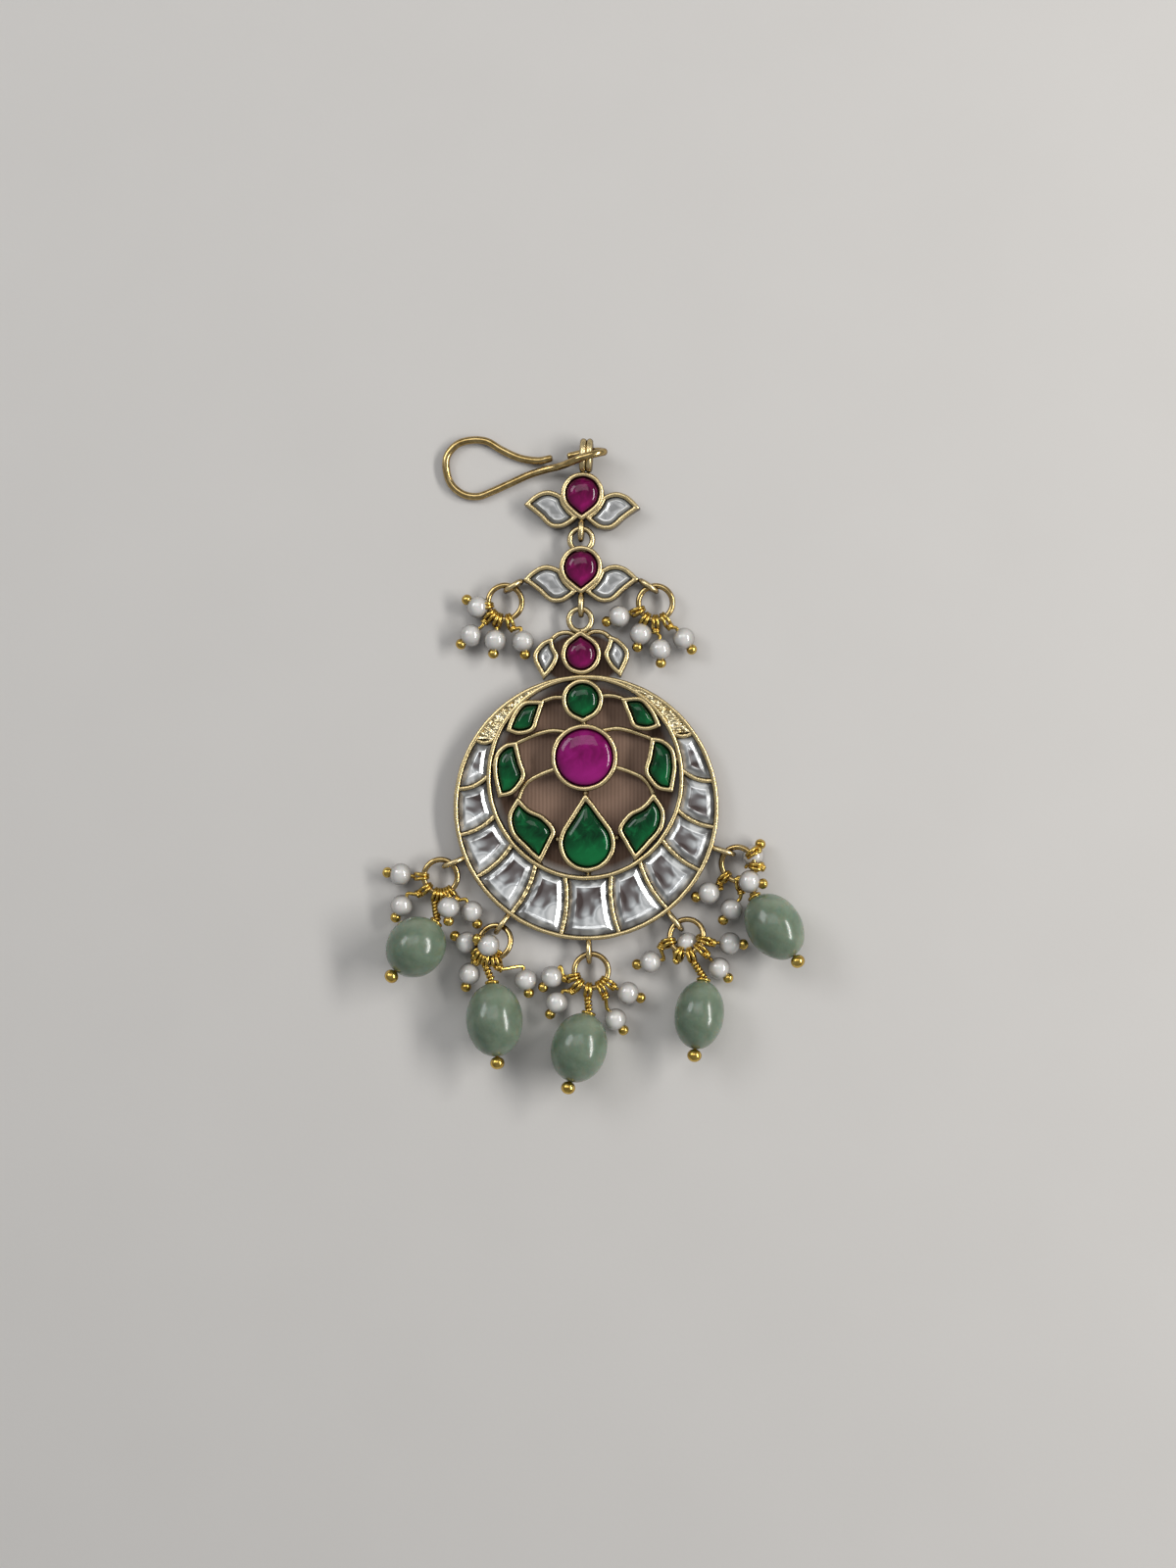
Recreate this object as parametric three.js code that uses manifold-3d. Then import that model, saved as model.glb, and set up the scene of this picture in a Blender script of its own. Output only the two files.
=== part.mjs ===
// Maang tikka: hook, two lotus links, a crescent pendant and seven clusters of drops, lying face up.
// Millimetres, +Z up off the table, +Y towards the hook, pendant disc centred on the design origin.
import * as THREE from 'three';
import { mergeVertices } from 'three/addons/utils/BufferGeometryUtils.js';
import Module from 'manifold-3d';

const wasm = await Module();
wasm.setup();

// Clearances, overlaps of soldered metal, and tolerances of the meshes
const STONE_GAP = 0.08;
const SOLDER_OVERLAP = 0.3;
const TABLE_LIFT = 0.03;
const OUTLINE_TOLERANCE = 0.11;
const MERGE_TOLERANCE = 0.015;
const WELD_TOLERANCE = 1e-4;
const CUT_BEYOND = 1;

// Settings: bezel walls and the plate under the stones
const BEZEL_WALL = 0.62;
const BEZEL_HEIGHT = 2.3;
const BEZEL_FLOOR = 0.5;
const PANEL_HEIGHT = BEZEL_HEIGHT * 0.92;

// Stones: cabochons rise from the girdle to a shoulder and a crown, cut stones to a table
const RUBY_RISE = 0.9;
const GREEN_RISE = 0.75;
const CABOCHON = { girdleDrop: 0.35, shoulderScale: 0.8, shoulderShare: 0.55, crownScale: 0.45 };
const CUT = { girdleDrop: 0.55, tableDrop: 0.1, tableScale: 0.62 };

// Pendant disc. All places on the pendant are drawn for a radius of 17.6 and follow the disc
const DISC_RADIUS = 17.6;
const PENDANT_SCALE = DISC_RADIUS / 17.6;
const PENDANT_TURN = 1.8;
const RIM_WALL = 0.6;
const DISC_SEGMENTS = 40;

// Opening and crescent
const OPENING_NORTH = 3.97 * PENDANT_SCALE;
const OPENING_HALF_WIDTH = 12.5 * PENDANT_SCALE;
const OPENING_HALF_LENGTH = 13.0 * PENDANT_SCALE;
const OPENING_SEGMENTS = 32;
const CELL_DIVIDER = 0.6;
const DIVIDER_BULGE = 0.45;
const DIVIDER_STEPS = 12;
const ARC_STEPS = 16;

// Dividers of the crescent, degrees from straight down: [angle on the disc, angle on the opening]
const DIVIDER_ANGLES = [
  [13.0, 13.1],
  [37.0, 31.2],
  [59.4, 49.3],
  [79.6, 68.9],
  [100.2, 92.4],
  [123.4, 115.3],
];

// Bezels on the middle line: the two green drops point at the round ruby, the crown drop stands on the rim.
// point is the distance from the centre of a drop to its tip
const SEAT_GAP = 0.12;
const RUBY = { name: 'ruby_round', north: 6.63 * PENDANT_SCALE, radius: 4.45 * PENDANT_SCALE };
const TOP_DROP = { name: 'green_drop_top', radius: 2.78 * PENDANT_SCALE, point: 3.08 * PENDANT_SCALE };
const BOTTOM_DROP = { name: 'green_drop_bottom', radius: 3.8 * PENDANT_SCALE, point: 6.7 * PENDANT_SCALE };
const CROWN_DROP = { name: 'ruby_crown', radius: 2.67 * PENDANT_SCALE, point: 3.25 * PENDANT_SCALE };

const TOP_TIP = RUBY.north + RUBY.radius + SEAT_GAP;
const BOTTOM_TIP = RUBY.north - RUBY.radius - 2 * SEAT_GAP;
const TOP_NORTH = TOP_TIP + TOP_DROP.point;
const BOTTOM_NORTH = BOTTOM_TIP - BOTTOM_DROP.point;
const CROWN_NORTH = DISC_RADIUS + CROWN_DROP.radius + SEAT_GAP / 3;
const CROWN_TIP = CROWN_NORTH + CROWN_DROP.point;

// Leaves on the right half, mirrored to the left: first tip, outer side, second tip, inner side.
// Points are [east, north], drawn for a disc radius of 17.6
const LEAVES = [
  {
    name: 'green_leaf_upper',
    cabochon: true,
    tip: [5.0, 14.4],
    outer: [[7.9, 14.3], [9.4, 12.6]],
    end: [10.35, 10.45],
    inner: [[8.6, 9.9], [6.6, 10.4], [5.8, 12.2]],
  },
  {
    name: 'green_leaf_middle',
    cabochon: true,
    tip: [8.87, 9.1],
    outer: [[10.5, 8.75], [11.85, 7.4], [12.2, 5.2]],
    end: [11.6, 1.6],
    inner: [[9.5, 2.15], [7.9, 4.4], [8.4, 6.6]],
  },
  {
    name: 'green_leaf_lower',
    cabochon: true,
    tip: [9.0, 1.75],
    outer: [[10.4, -0.7], [10.1, -3.1], [8.2, -5.35]],
    end: [6.25, -7.3],
    inner: [[4.95, -4.9], [4.15, -3.0], [5.6, -0.95], [7.6, 0.15]],
  },
  {
    name: 'clear_petal_crown',
    cabochon: false,
    tip: [3.75, 22.75],
    outer: [[5.2, 22.1], [6.4, 20.3]],
    end: [5.15, 17.1],
    inner: [[3.7, 18.6], [3.0, 20.2], [3.55, 21.6]],
  },
];

// Thin wires of the right half, mirrored to the left. Each starts on a bezel of the middle line, at the
// heading given, and runs through points [east, north], drawn for a disc radius of 17.6
const WIRE_RADIUS = 0.27;
const WIRE_HEIGHT = 0.9;
const WIRES = [
  { from: 'topDrop', heading: 11, through: [[3.9, 14.75], [5.4, 14.3]] },
  { from: 'ruby', heading: 57, through: [[4.4, 10.35], [6.6, 9.85], [9.1, 8.8]] },
  { from: 'ruby', heading: -19, through: [[6.0, 4.55], [7.7, 3.6], [8.6, 2.4], [9.0, 1.2]] },
  { from: 'crownDrop', heading: 84, through: [[1.6, 23.3], [2.9, 23.2], [4.0, 22.4]] },
];

// Solder spots that join neighbouring bezels. Those off the middle line are [east, north], drawn for a
// disc radius of 17.6 and mirrored
const SOLDER_RADIUS = 0.45;
const SOLDER_SIDES = 6;
const SOLDER_BOTTOM = BEZEL_FLOOR * 0.5;
const SOLDER_TOP = BEZEL_HEIGHT * 0.7;
const SIDE_SPOTS = [
  [12.25, 6.0],
  [3.95, -4.1],
  [6.4, -7.5],
];
const MIDDLE_SPOTS = [
  TOP_TIP,
  BOTTOM_TIP,
  BOTTOM_NORTH - BOTTOM_DROP.radius,
  OPENING_NORTH - OPENING_HALF_LENGTH,
  DISC_RADIUS - RIM_WALL / 2,
];

// Links: vertical loops, flat rings, ears and the bail
const LOOP_WIRE = 0.38;
const LOOP_RADIUS = 1.05;
const FLAT_RING_WIRE = 0.33;
const FLAT_RING_RADIUS = 1.5;
const RING_SINK = 0.15;
const CROWN_RING_NORTH = CROWN_TIP + FLAT_RING_RADIUS - RING_SINK;
const EAR_WIRE = 0.36;
const EAR_RADIUS = 1.08;
const EAR_STRETCH = 1.3;
const EAR_PASS = 0.38;
const EAR_ANGLES = { left: 200.7, lower_left: 232.4, bottom: 269.4, lower_right: 306.4, right: 340.7 };
const BAIL_WIRE = 0.45;
const BAIL_RADIUS = 1.2;
const BAIL_STRETCH = 1.58;
const BAIL_OVERLAP = 0.04;
const LINK_HEIGHT = 1.47;
const LINK_WIRE_SIDES = 5;
const STANDING_LOOP_SIDES = 10;
const FLAT_RING_SIDES = 11;

// Lotus: ruby drop between two clear petals, right petal mirrored to the left. Points are [east, north],
// drawn for a drop radius of 2.86, and follow it
const LOTUS_DROP_RADIUS = 2.86;
const LOTUS_SCALE = LOTUS_DROP_RADIUS / 2.86;
const LOTUS_DROP_TIP = -3.64 * LOTUS_SCALE;
const LOTUS_UPPER_SIDE = [[7.7, -1.65], [6.8, -0.7], [5.75, 0.05], [4.65, 0.33], [3.65, 0.18], [2.6, -0.3]];
const LOTUS_LOWER_SIDE = [[0.4, -3.1], [1.3, -3.9], [2.5, -4.58], [3.85, -4.62], [4.8, -4.05], [5.65, -3.2]];
const LOTUS_INNER_SIDE = [[2.2, -1.3], [1.4, -2.3]];
const LOTUS_EAR_LEFT = 212;
const LOTUS_EAR_RIGHT = 325;
const LOTUS_EAR_REACH = 1.52;
const LOTUS_EAR_STRETCH = 1.15;
const LOTUS_RING_NORTH = LOTUS_DROP_RADIUS + FLAT_RING_RADIUS * 0.54;

// Lie of the two lotus links: each hangs its loop through the flat ring below it
const MIDDLE_LIE = { east: -0.65, turn: 0, loopStretch: 1.25, slack: -0.42 };
const TOP_LIE = { east: -0.46, turn: -2, loopStretch: 1.1, slack: 0.3 };
const LOTUS_MIDDLE = { ...MIDDLE_LIE, north: northAbove(CROWN_RING_NORTH, MIDDLE_LIE) };
const LOTUS_TOP = { ...TOP_LIE, north: northAbove(LOTUS_MIDDLE.north + LOTUS_RING_NORTH, TOP_LIE) };

// Hook wire, points relative to the bail centre: [east, north, height], drawn for a wire radius of 0.5
const HOOK_WIRE = 0.5;
const HOOK_SCALE = HOOK_WIRE / 0.5;
const HOOK_SIDES = 6;
const HOOK_STEPS = 40;
const BAIL_NORTH = 5.07 * LOTUS_SCALE;
const BAIL_EAST = 0.33 * LOTUS_SCALE;
const HOOK_PATH = [
  [-4.4, -0.2, 1.05],
  [-6.1, -0.5, 0.75],
  [-8.7, -0.13, 0.6],
  [-11.3, 1.04, 0.6],
  [-13.2, 2.15, 0.6],
  [-15.2, 2.41, 0.6],
  [-17.1, 1.8, 0.6],
  [-18.5, 0.2, 0.6],
  [-18.6, -1.6, 0.6],
  [-17.9, -3.6, 0.6],
  [-16.3, -4.9, 0.6],
  [-14.4, -5.2, 0.6],
  [-12.6, -4.6, 0.6],
  [-10.0, -3.45, 0.6],
  [-7.4, -2.34, 0.7],
  [-5.2, -1.75, 1.1],
  [-3.4, -1.45, 1.9],
  [-1.9, -1.1, 3.2],
  [-0.6, -0.7, 4.0],
  [0.7, -0.3, 4.05],
  [1.9, 0.05, 3.6],
  [2.55, 0.3, 2.85],
  [2.1, 0.5, 2.05],
  [1.1, 0.52, 1.72],
  [0, 0.4, 1.7],
  [-1.2, 0.12, 1.65],
  [-2.3, -0.1, 1.45],
];

// Jump rings and drops
const RING_WIRE = 0.35;
const RING_RADIUS = 2.25;
const PIN_WIRE = 0.21;
const PIN_LOOP_RADIUS = 0.84;
const PIN_LOOP_SIDES = 7;
const PIN_LOOP_WIRE_SIDES = 3;
const PIN_SIDES = 3;
const PIN_LOOP_JOIN = 0.1;
const PIN_LOOP_OFFSET = PIN_LOOP_RADIUS - PIN_WIRE - RING_WIRE + PIN_LOOP_JOIN;
const PEARL_RADIUS = 1.5;
const PEARL_AROUND = 10;
const PEARL_DOWN = 4;
const PIN_HEAD_RADIUS = 0.72;
const PIN_HEAD_REACH = PEARL_RADIUS + PIN_HEAD_RADIUS * 0.55;
const PIN_HEAD_AROUND = 5;
const PIN_HEAD_DOWN = 2;
const BEAD_TILT = 12;
const BEAD_BORE = PIN_WIRE + 0.13;
const BEAD_HEAD_RADIUS = 0.95;
const BEAD_HEAD_REACH = BEAD_HEAD_RADIUS * 0.95;
const BEAD_HEAD_AROUND = 6;
const BEAD_HEAD_DOWN = 3;
const BEAD_WRAP_RADIUS = 0.46;
const BEAD_WRAP_SIDES = 6;
const BEAD_AROUND = 12;
const BEAD_DOWN = 6;
const BEAD_BORE_SIDES = 8;

// Drops of each ring, measured from where the ring passes its ear and drawn for a pearl radius of 1.5
const DROP_SCALE = PEARL_RADIUS / 1.5;
// pearls: [turn on the ring, east, north, height, direction of the pin head]
// bead: [turn on the ring, east, north, direction of the pin head, half length, radius]
const CLUSTERS = [
  {
    name: 'lotus_left',
    swing: 244,
    tilt: 0,
    lean: 0,
    pearls: [
      [-52, -4.6, -2.67, 1.53, 146],
      [-20, -5.51, -6.44, 1.53, 220],
      [6, -2.26, -7.09, 1.9, 262],
      [40, 1.38, -7.22, 1.53, 280],
    ],
  },
  {
    name: 'lotus_right',
    swing: 290,
    tilt: 0,
    lean: 0,
    pearls: [
      [-85, -4.06, -3.89, 1.53, 202],
      [-52, -1.2, -6.23, 1.53, 256],
      [-20, 1.4, -8.31, 1.53, 273],
      [10, 4.52, -6.88, 1.53, 306],
    ],
  },
  {
    name: 'left',
    swing: 231,
    tilt: 0,
    lean: 0,
    pearls: [
      [-51, -6.77, -1.49, 1.53, 172],
      [-11, -6.64, -5.65, 1.53, 243],
      [49, -0.14, -5.78, 3.6, 270],
      [72, 2.72, -6.43, 1.53, 295],
    ],
    bead: [26, -4.43, -10.98, 231, 4.3, 3.95],
  },
  {
    name: 'lower_left',
    swing: 250,
    tilt: 12,
    lean: 20,
    pearls: [
      [-67, -4.55, -2.21, 1.53, 151],
      [-37, -1.43, -2.47, 3.3, 150],
      [-22, -4.16, -6.37, 1.53, 255],
      [28, 3.38, -7.15, 1.53, 283],
    ],
    bead: [0, -0.59, -12.22, 275, 5.0, 3.85],
  },
  {
    name: 'bottom',
    swing: 278,
    tilt: 8,
    lean: 0,
    pearls: [
      [-78, -4.96, -3.07, 1.53, 230],
      [-50, -4.31, -6.45, 1.53, 241],
      [47, 5.18, -5.15, 1.53, 339],
      [22, 3.49, -8.66, 1.53, 307],
    ],
    bead: [-16, -1.19, -12.17, 255, 4.75, 3.8],
  },
  {
    name: 'lower_right',
    swing: 308,
    tilt: 18,
    lean: 0,
    pearls: [
      [-108, -3.51, -5.18, 1.53, 191],
      [-58, 1.43, -2.71, 1.53, 20],
      [37, 7.02, -2.71, 1.53, 356],
      [10, 5.59, -5.96, 1.53, 313],
    ],
    bead: [-23, 2.99, -11.94, 263, 4.7, 3.35],
  },
  {
    name: 'right',
    swing: 314,
    tilt: 10,
    lean: 16,
    pearls: [
      [80, 3.58, -0.49, 1.53, 58],
      [40, 3.06, -3.87, 3.3, 351],
      [-90, -2.27, -5.43, 1.53, 198],
      [-38, 0.72, -7.64, 1.53, 232],
    ],
    bead: [-5, 6.31, -9.72, 304, 4.8, 3.7],
  },
];

// Materials
function metal(colour, roughness) {
  return new THREE.MeshStandardMaterial({ color: colour, roughness, metalness: 1 });
}

function mineral(colour, roughness) {
  return new THREE.MeshStandardMaterial({ color: colour, roughness, metalness: 0 });
}

const MATERIALS = {
  antiqueGold: metal(0xbeaa73, 0.38),
  wireGold: metal(0xaf8741, 0.3),
  ruby: mineral(0x8c0a50, 0.12),
  emerald: mineral(0x0a5a32, 0.14),
  clearStone: mineral(0xc8c8c6, 0.1),
  aventurine: mineral(0x7f9b83, 0.25),
};

// Angles and points
function radians(degrees) {
  return degrees * Math.PI / 180;
}

function polar(radius, degrees) {
  return new THREE.Vector2(radius * Math.cos(radians(degrees)), radius * Math.sin(radians(degrees)));
}

function mirrored(points) {
  return points.map(([east, north]) => [-east, north]).reverse();
}

function scaled(points, scale) {
  return points.map((point) => point.map((value) => value * scale));
}

// Solids: closed geometry to and from the boolean kernel
function solidOf(geometry) {
  const bare = geometry.clone();
  bare.deleteAttribute('normal');
  bare.deleteAttribute('uv');
  const welded = mergeVertices(bare, WELD_TOLERANCE);
  const mesh = new wasm.Mesh({
    numProp: 3,
    vertProperties: new Float32Array(welded.attributes.position.array),
    triVerts: new Uint32Array(welded.index.array),
  });
  return new wasm.Manifold(mesh);
}

function geometryOf(solid) {
  const mesh = solid.simplify(MERGE_TOLERANCE).getMesh();
  const geometry = new THREE.BufferGeometry();
  geometry.setAttribute('position', new THREE.BufferAttribute(mesh.vertProperties, mesh.numProp));
  geometry.setIndex(new THREE.BufferAttribute(mesh.triVerts, 1));
  const faceted = geometry.toNonIndexed();
  faceted.computeVertexNormals();
  return faceted;
}

function joined(geometries) {
  return geometries.map(solidOf).reduce((whole, next) => whole.add(next));
}

function named(name, geometry, material) {
  const mesh = new THREE.Mesh(geometry, material);
  mesh.name = name;
  return mesh;
}

// Plan outlines
function smoothSide(points, count) {
  const path = new THREE.CatmullRomCurve3(
    points.map(([east, north]) => new THREE.Vector3(east, north, 0)),
    false,
    'centripetal',
  );
  return path.getPoints(count).map((point) => new THREE.Vector2(point.x, point.y));
}

const SIDE_POINTS = 60;

function outlineOfSides(sides) {
  return sides.flatMap((side) => smoothSide(side, SIDE_POINTS).slice(0, -1));
}

function leafOutline(leaf, mirror) {
  const outer = scaled([leaf.tip, ...leaf.outer, leaf.end], PENDANT_SCALE);
  const inner = scaled([leaf.end, ...leaf.inner, leaf.tip], PENDANT_SCALE);
  const sides = mirror ? [mirrored(inner), mirrored(outer)] : [outer, inner];
  return outlineOfSides(sides);
}

function roundOutline(east, north, radius) {
  return new THREE.EllipseCurve(east, north, radius, radius).getPoints(2 * SIDE_POINTS).slice(0, -1);
}

// A round outline drawn out to a point, up or down
function dropOutline(north, radius, tip) {
  const reach = Math.abs(tip - north);
  const heading = tip > north ? 90 : -90;
  const tangent = THREE.MathUtils.radToDeg(Math.acos(radius / reach));
  const outline = [new THREE.Vector2(0, tip)];
  const sweep = 360 - 2 * tangent;
  for (let step = 0; step <= 2 * SIDE_POINTS; step += 1) {
    const point = polar(radius, heading + tangent + sweep * step / (2 * SIDE_POINTS));
    outline.push(new THREE.Vector2(point.x, point.y + north));
  }
  return outline;
}

function anticlockwise(outline) {
  return THREE.ShapeUtils.area(outline) < 0 ? [...outline].reverse() : outline;
}

function distanceToEdges(point, outline) {
  let nearest = Infinity;
  outline.forEach((start, index) => {
    const end = outline[(index + 1) % outline.length];
    const edge = end.clone().sub(start);
    const along = point.clone().sub(start).dot(edge) / edge.lengthSq();
    const foot = start.clone().addScaledVector(edge, THREE.MathUtils.clamp(along, 0, 1));
    nearest = Math.min(nearest, foot.distanceTo(point));
  });
  return nearest;
}

// The outline moved inwards by a distance, corners kept sharp
function inset(outline, distance) {
  const dense = new THREE.Shape(anticlockwise(outline)).getSpacedPoints(4 * SIDE_POINTS).slice(0, -1);
  const slack = distance * 0.02;
  const moved = dense.map((point, index) => {
    const before = dense[(index + dense.length - 1) % dense.length];
    const after = dense[(index + 1) % dense.length];
    const along = after.clone().sub(before).normalize();
    return new THREE.Vector2(point.x - along.y * distance, point.y + along.x * distance);
  });
  return moved.filter((point) => distanceToEdges(point, dense) > distance - slack);
}

// A polygon of long edges with every edge moved inwards, corners met again
function shrunk(polygon, distance) {
  const shape = anticlockwise(polygon);
  return shape.map((corner, index) => {
    const before = shape[(index + shape.length - 1) % shape.length];
    const after = shape[(index + 1) % shape.length];
    const first = corner.clone().sub(before).normalize();
    const second = after.clone().sub(corner).normalize();
    const inward = new THREE.Vector2(-first.y - second.y, first.x + second.x);
    return corner.clone().addScaledVector(inward, distance / (1 + first.dot(second)));
  });
}

function farthestFromChord(points) {
  const start = points[0];
  const end = points[points.length - 1];
  const line = new THREE.Line3(
    new THREE.Vector3(start.x, start.y, 0),
    new THREE.Vector3(end.x, end.y, 0),
  );
  const foot = new THREE.Vector3();
  let best = { index: 0, distance: 0 };
  points.forEach((point, index) => {
    const place = new THREE.Vector3(point.x, point.y, 0);
    line.closestPointToPoint(place, true, foot);
    if (foot.distanceTo(place) > best.distance) best = { index, distance: foot.distanceTo(place) };
  });
  return best;
}

function simplifySpan(points, tolerance) {
  const worst = farthestFromChord(points);
  if (worst.distance <= tolerance) return [points[0], points[points.length - 1]];
  const first = simplifySpan(points.slice(0, worst.index + 1), tolerance);
  const second = simplifySpan(points.slice(worst.index), tolerance);
  return [...first.slice(0, -1), ...second];
}

// Fewest points that follow a closed outline within the tolerance
function simplified(outline, tolerance = OUTLINE_TOLERANCE) {
  const centre = centroid(outline);
  const distances = outline.map((point) => point.distanceTo(centre));
  const start = distances.indexOf(Math.max(...distances));
  const turned = [...outline.slice(start), ...outline.slice(0, start)];
  const spans = turned.map((point) => point.distanceTo(turned[0]));
  const far = spans.indexOf(Math.max(...spans));
  const there = simplifySpan(turned.slice(0, far + 1), tolerance);
  const back = simplifySpan([...turned.slice(far), turned[0]], tolerance);
  return [...there.slice(0, -1), ...back.slice(0, -1)];
}

function centroid(outline) {
  const sum = new THREE.Vector2();
  outline.forEach((point) => sum.add(point));
  return sum.divideScalar(outline.length);
}

function slab(outline, bottom, top) {
  const geometry = new THREE.ExtrudeGeometry(new THREE.Shape(outline), {
    depth: top - bottom,
    bevelEnabled: false,
  });
  return geometry.translate(0, 0, bottom);
}

// Round wire along a path of [east, north, height] points
function wire(points, radius, sides, steps) {
  const places = points.map((point) => new THREE.Vector3(...point));
  const path = new THREE.CatmullRomCurve3(places, false, 'centripetal');
  const section = [];
  for (let side = 0; side < sides; side += 1) section.push(polar(radius, 360 * side / sides));
  return new THREE.ExtrudeGeometry(new THREE.Shape(section), { steps, extrudePath: path });
}

function rod(start, end, radius, sides) {
  const axis = end.clone().sub(start);
  const geometry = new THREE.CylinderGeometry(radius, radius, axis.length(), sides);
  const upright = new THREE.Vector3(0, 1, 0);
  const turn = new THREE.Quaternion().setFromUnitVectors(upright, axis.clone().normalize());
  const centre = start.clone().add(end).divideScalar(2);
  return geometry.applyQuaternion(turn).translate(centre.x, centre.y, centre.z);
}

function ball(centre, radius, around, down) {
  const geometry = new THREE.SphereGeometry(radius, around, down);
  return geometry.rotateX(Math.PI / 2).translate(centre.x, centre.y, centre.z);
}

// Loop standing on edge in the plane of its heading, stretched along the heading
function standingLoop(east, north, height, radius, wireRadius, stretch, heading) {
  const geometry = new THREE.TorusGeometry(radius, wireRadius, LINK_WIRE_SIDES, STANDING_LOOP_SIDES);
  geometry.rotateX(Math.PI / 2);
  geometry.scale(stretch, 1, 1);
  geometry.rotateZ(radians(heading));
  return geometry.translate(east, north, height);
}

function flatRing(east, north, height, radius, wireRadius) {
  const geometry = new THREE.TorusGeometry(radius, wireRadius, LINK_WIRE_SIDES, FLAT_RING_SIDES);
  return geometry.translate(east, north, height);
}

function solderSpot(east, north) {
  const bottom = new THREE.Vector3(east, north, SOLDER_BOTTOM);
  return rod(bottom, new THREE.Vector3(east, north, SOLDER_TOP), SOLDER_RADIUS, SOLDER_SIDES);
}

// Stones: flat base, upright girdle, then rings that shrink towards the crown
function stone(outline, levels) {
  const shape = anticlockwise(outline);
  const centre = centroid(shape);
  const positions = [];
  const triangles = [];
  levels.forEach(([scale, height]) => {
    shape.forEach((point) => {
      const place = point.clone().sub(centre).multiplyScalar(scale).add(centre);
      positions.push(place.x, place.y, height);
    });
  });
  const count = shape.length;
  for (let level = 0; level < levels.length - 1; level += 1) {
    for (let index = 0; index < count; index += 1) {
      const next = (index + 1) % count;
      const low = level * count;
      const high = low + count;
      triangles.push(low + index, low + next, high + next);
      triangles.push(low + index, high + next, high + index);
    }
  }
  const top = (levels.length - 1) * count;
  THREE.ShapeUtils.triangulateShape(shape, []).forEach(([a, b, c]) => {
    triangles.push(c, b, a);
    triangles.push(top + a, top + b, top + c);
  });
  const geometry = new THREE.BufferGeometry();
  geometry.setAttribute('position', new THREE.Float32BufferAttribute(positions, 3));
  geometry.setIndex(triangles);
  const faceted = geometry.toNonIndexed();
  faceted.computeVertexNormals();
  return faceted;
}

const STONE_BASE = BEZEL_FLOOR + STONE_GAP;

function cabochonLevels(rise) {
  const girdle = BEZEL_HEIGHT - CABOCHON.girdleDrop;
  return [
    [1, STONE_BASE],
    [1, girdle],
    [CABOCHON.shoulderScale, girdle + rise * CABOCHON.shoulderShare],
    [CABOCHON.crownScale, girdle + rise],
  ];
}

function cutLevels() {
  return [
    [1, STONE_BASE],
    [1, PANEL_HEIGHT - CUT.girdleDrop],
    [CUT.tableScale, PANEL_HEIGHT - CUT.tableDrop],
  ];
}

// What a kind of stone is made of and how it rises over its bezel
const STONE_KINDS = {
  clear: { material: MATERIALS.clearStone, levels: cutLevels(), bezelTop: PANEL_HEIGHT },
  ruby: { material: MATERIALS.ruby, levels: cabochonLevels(RUBY_RISE), bezelTop: BEZEL_HEIGHT },
  green: { material: MATERIALS.emerald, levels: cabochonLevels(GREEN_RISE), bezelTop: BEZEL_HEIGHT },
};

// One stone and its setting from the same outline
function seat(name, outline, kind) {
  const pocket = simplified(inset(outline, BEZEL_WALL));
  const { material, levels, bezelTop } = STONE_KINDS[kind];
  return {
    bezel: slab(simplified(anticlockwise(outline)), 0, bezelTop),
    pocket: slab(pocket, BEZEL_FLOOR, BEZEL_HEIGHT + CUT_BEYOND),
    stone: named(name, stone(shrunk(pocket, STONE_GAP), levels), material),
  };
}

// Crescent cells between neighbouring dividers
function openingPoint(angle, growth) {
  const down = radians(angle);
  const halfWidth = OPENING_HALF_WIDTH + growth;
  const halfLength = OPENING_HALF_LENGTH + growth;
  const reach = 1 / Math.hypot(Math.sin(down) / halfWidth, Math.cos(down) / halfLength);
  return new THREE.Vector2(reach * Math.sin(down), OPENING_NORTH - reach * Math.cos(down));
}

function dividerLine([outerAngle, innerAngle], side) {
  const outer = polar(DISC_RADIUS - RIM_WALL + CELL_DIVIDER / 2, outerAngle - 90);
  const inner = openingPoint(innerAngle, RIM_WALL - CELL_DIVIDER / 2);
  const across = inner.clone().sub(outer).normalize();
  const bend = inner.clone().add(outer).divideScalar(2);
  bend.add(new THREE.Vector2(-across.y, across.x).multiplyScalar(2 * DIVIDER_BULGE));
  const line = new THREE.QuadraticBezierCurve(outer, bend, inner).getPoints(DIVIDER_STEPS);
  return line.map((point) => new THREE.Vector2(side * point.x, point.y));
}

function arcBetween(pointAt, from, to) {
  const points = [];
  for (let step = 1; step < ARC_STEPS; step += 1) points.push(pointAt(from + (to - from) * step / ARC_STEPS));
  return points;
}

function cellOutline(from, to) {
  const outerRadius = DISC_RADIUS - RIM_WALL + CELL_DIVIDER / 2;
  const innerGrowth = RIM_WALL - CELL_DIVIDER / 2;
  const start = dividerLine(from.angles, from.side);
  const end = dividerLine(to.angles, to.side);
  const innerArc = arcBetween(
    (angle) => openingPoint(angle, innerGrowth),
    from.side * from.angles[1],
    to.side * to.angles[1],
  );
  const outerArc = arcBetween(
    (angle) => polar(outerRadius, angle - 90),
    to.side * to.angles[0],
    from.side * from.angles[0],
  );
  return [...start, ...innerArc, ...[...end].reverse(), ...outerArc];
}

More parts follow.
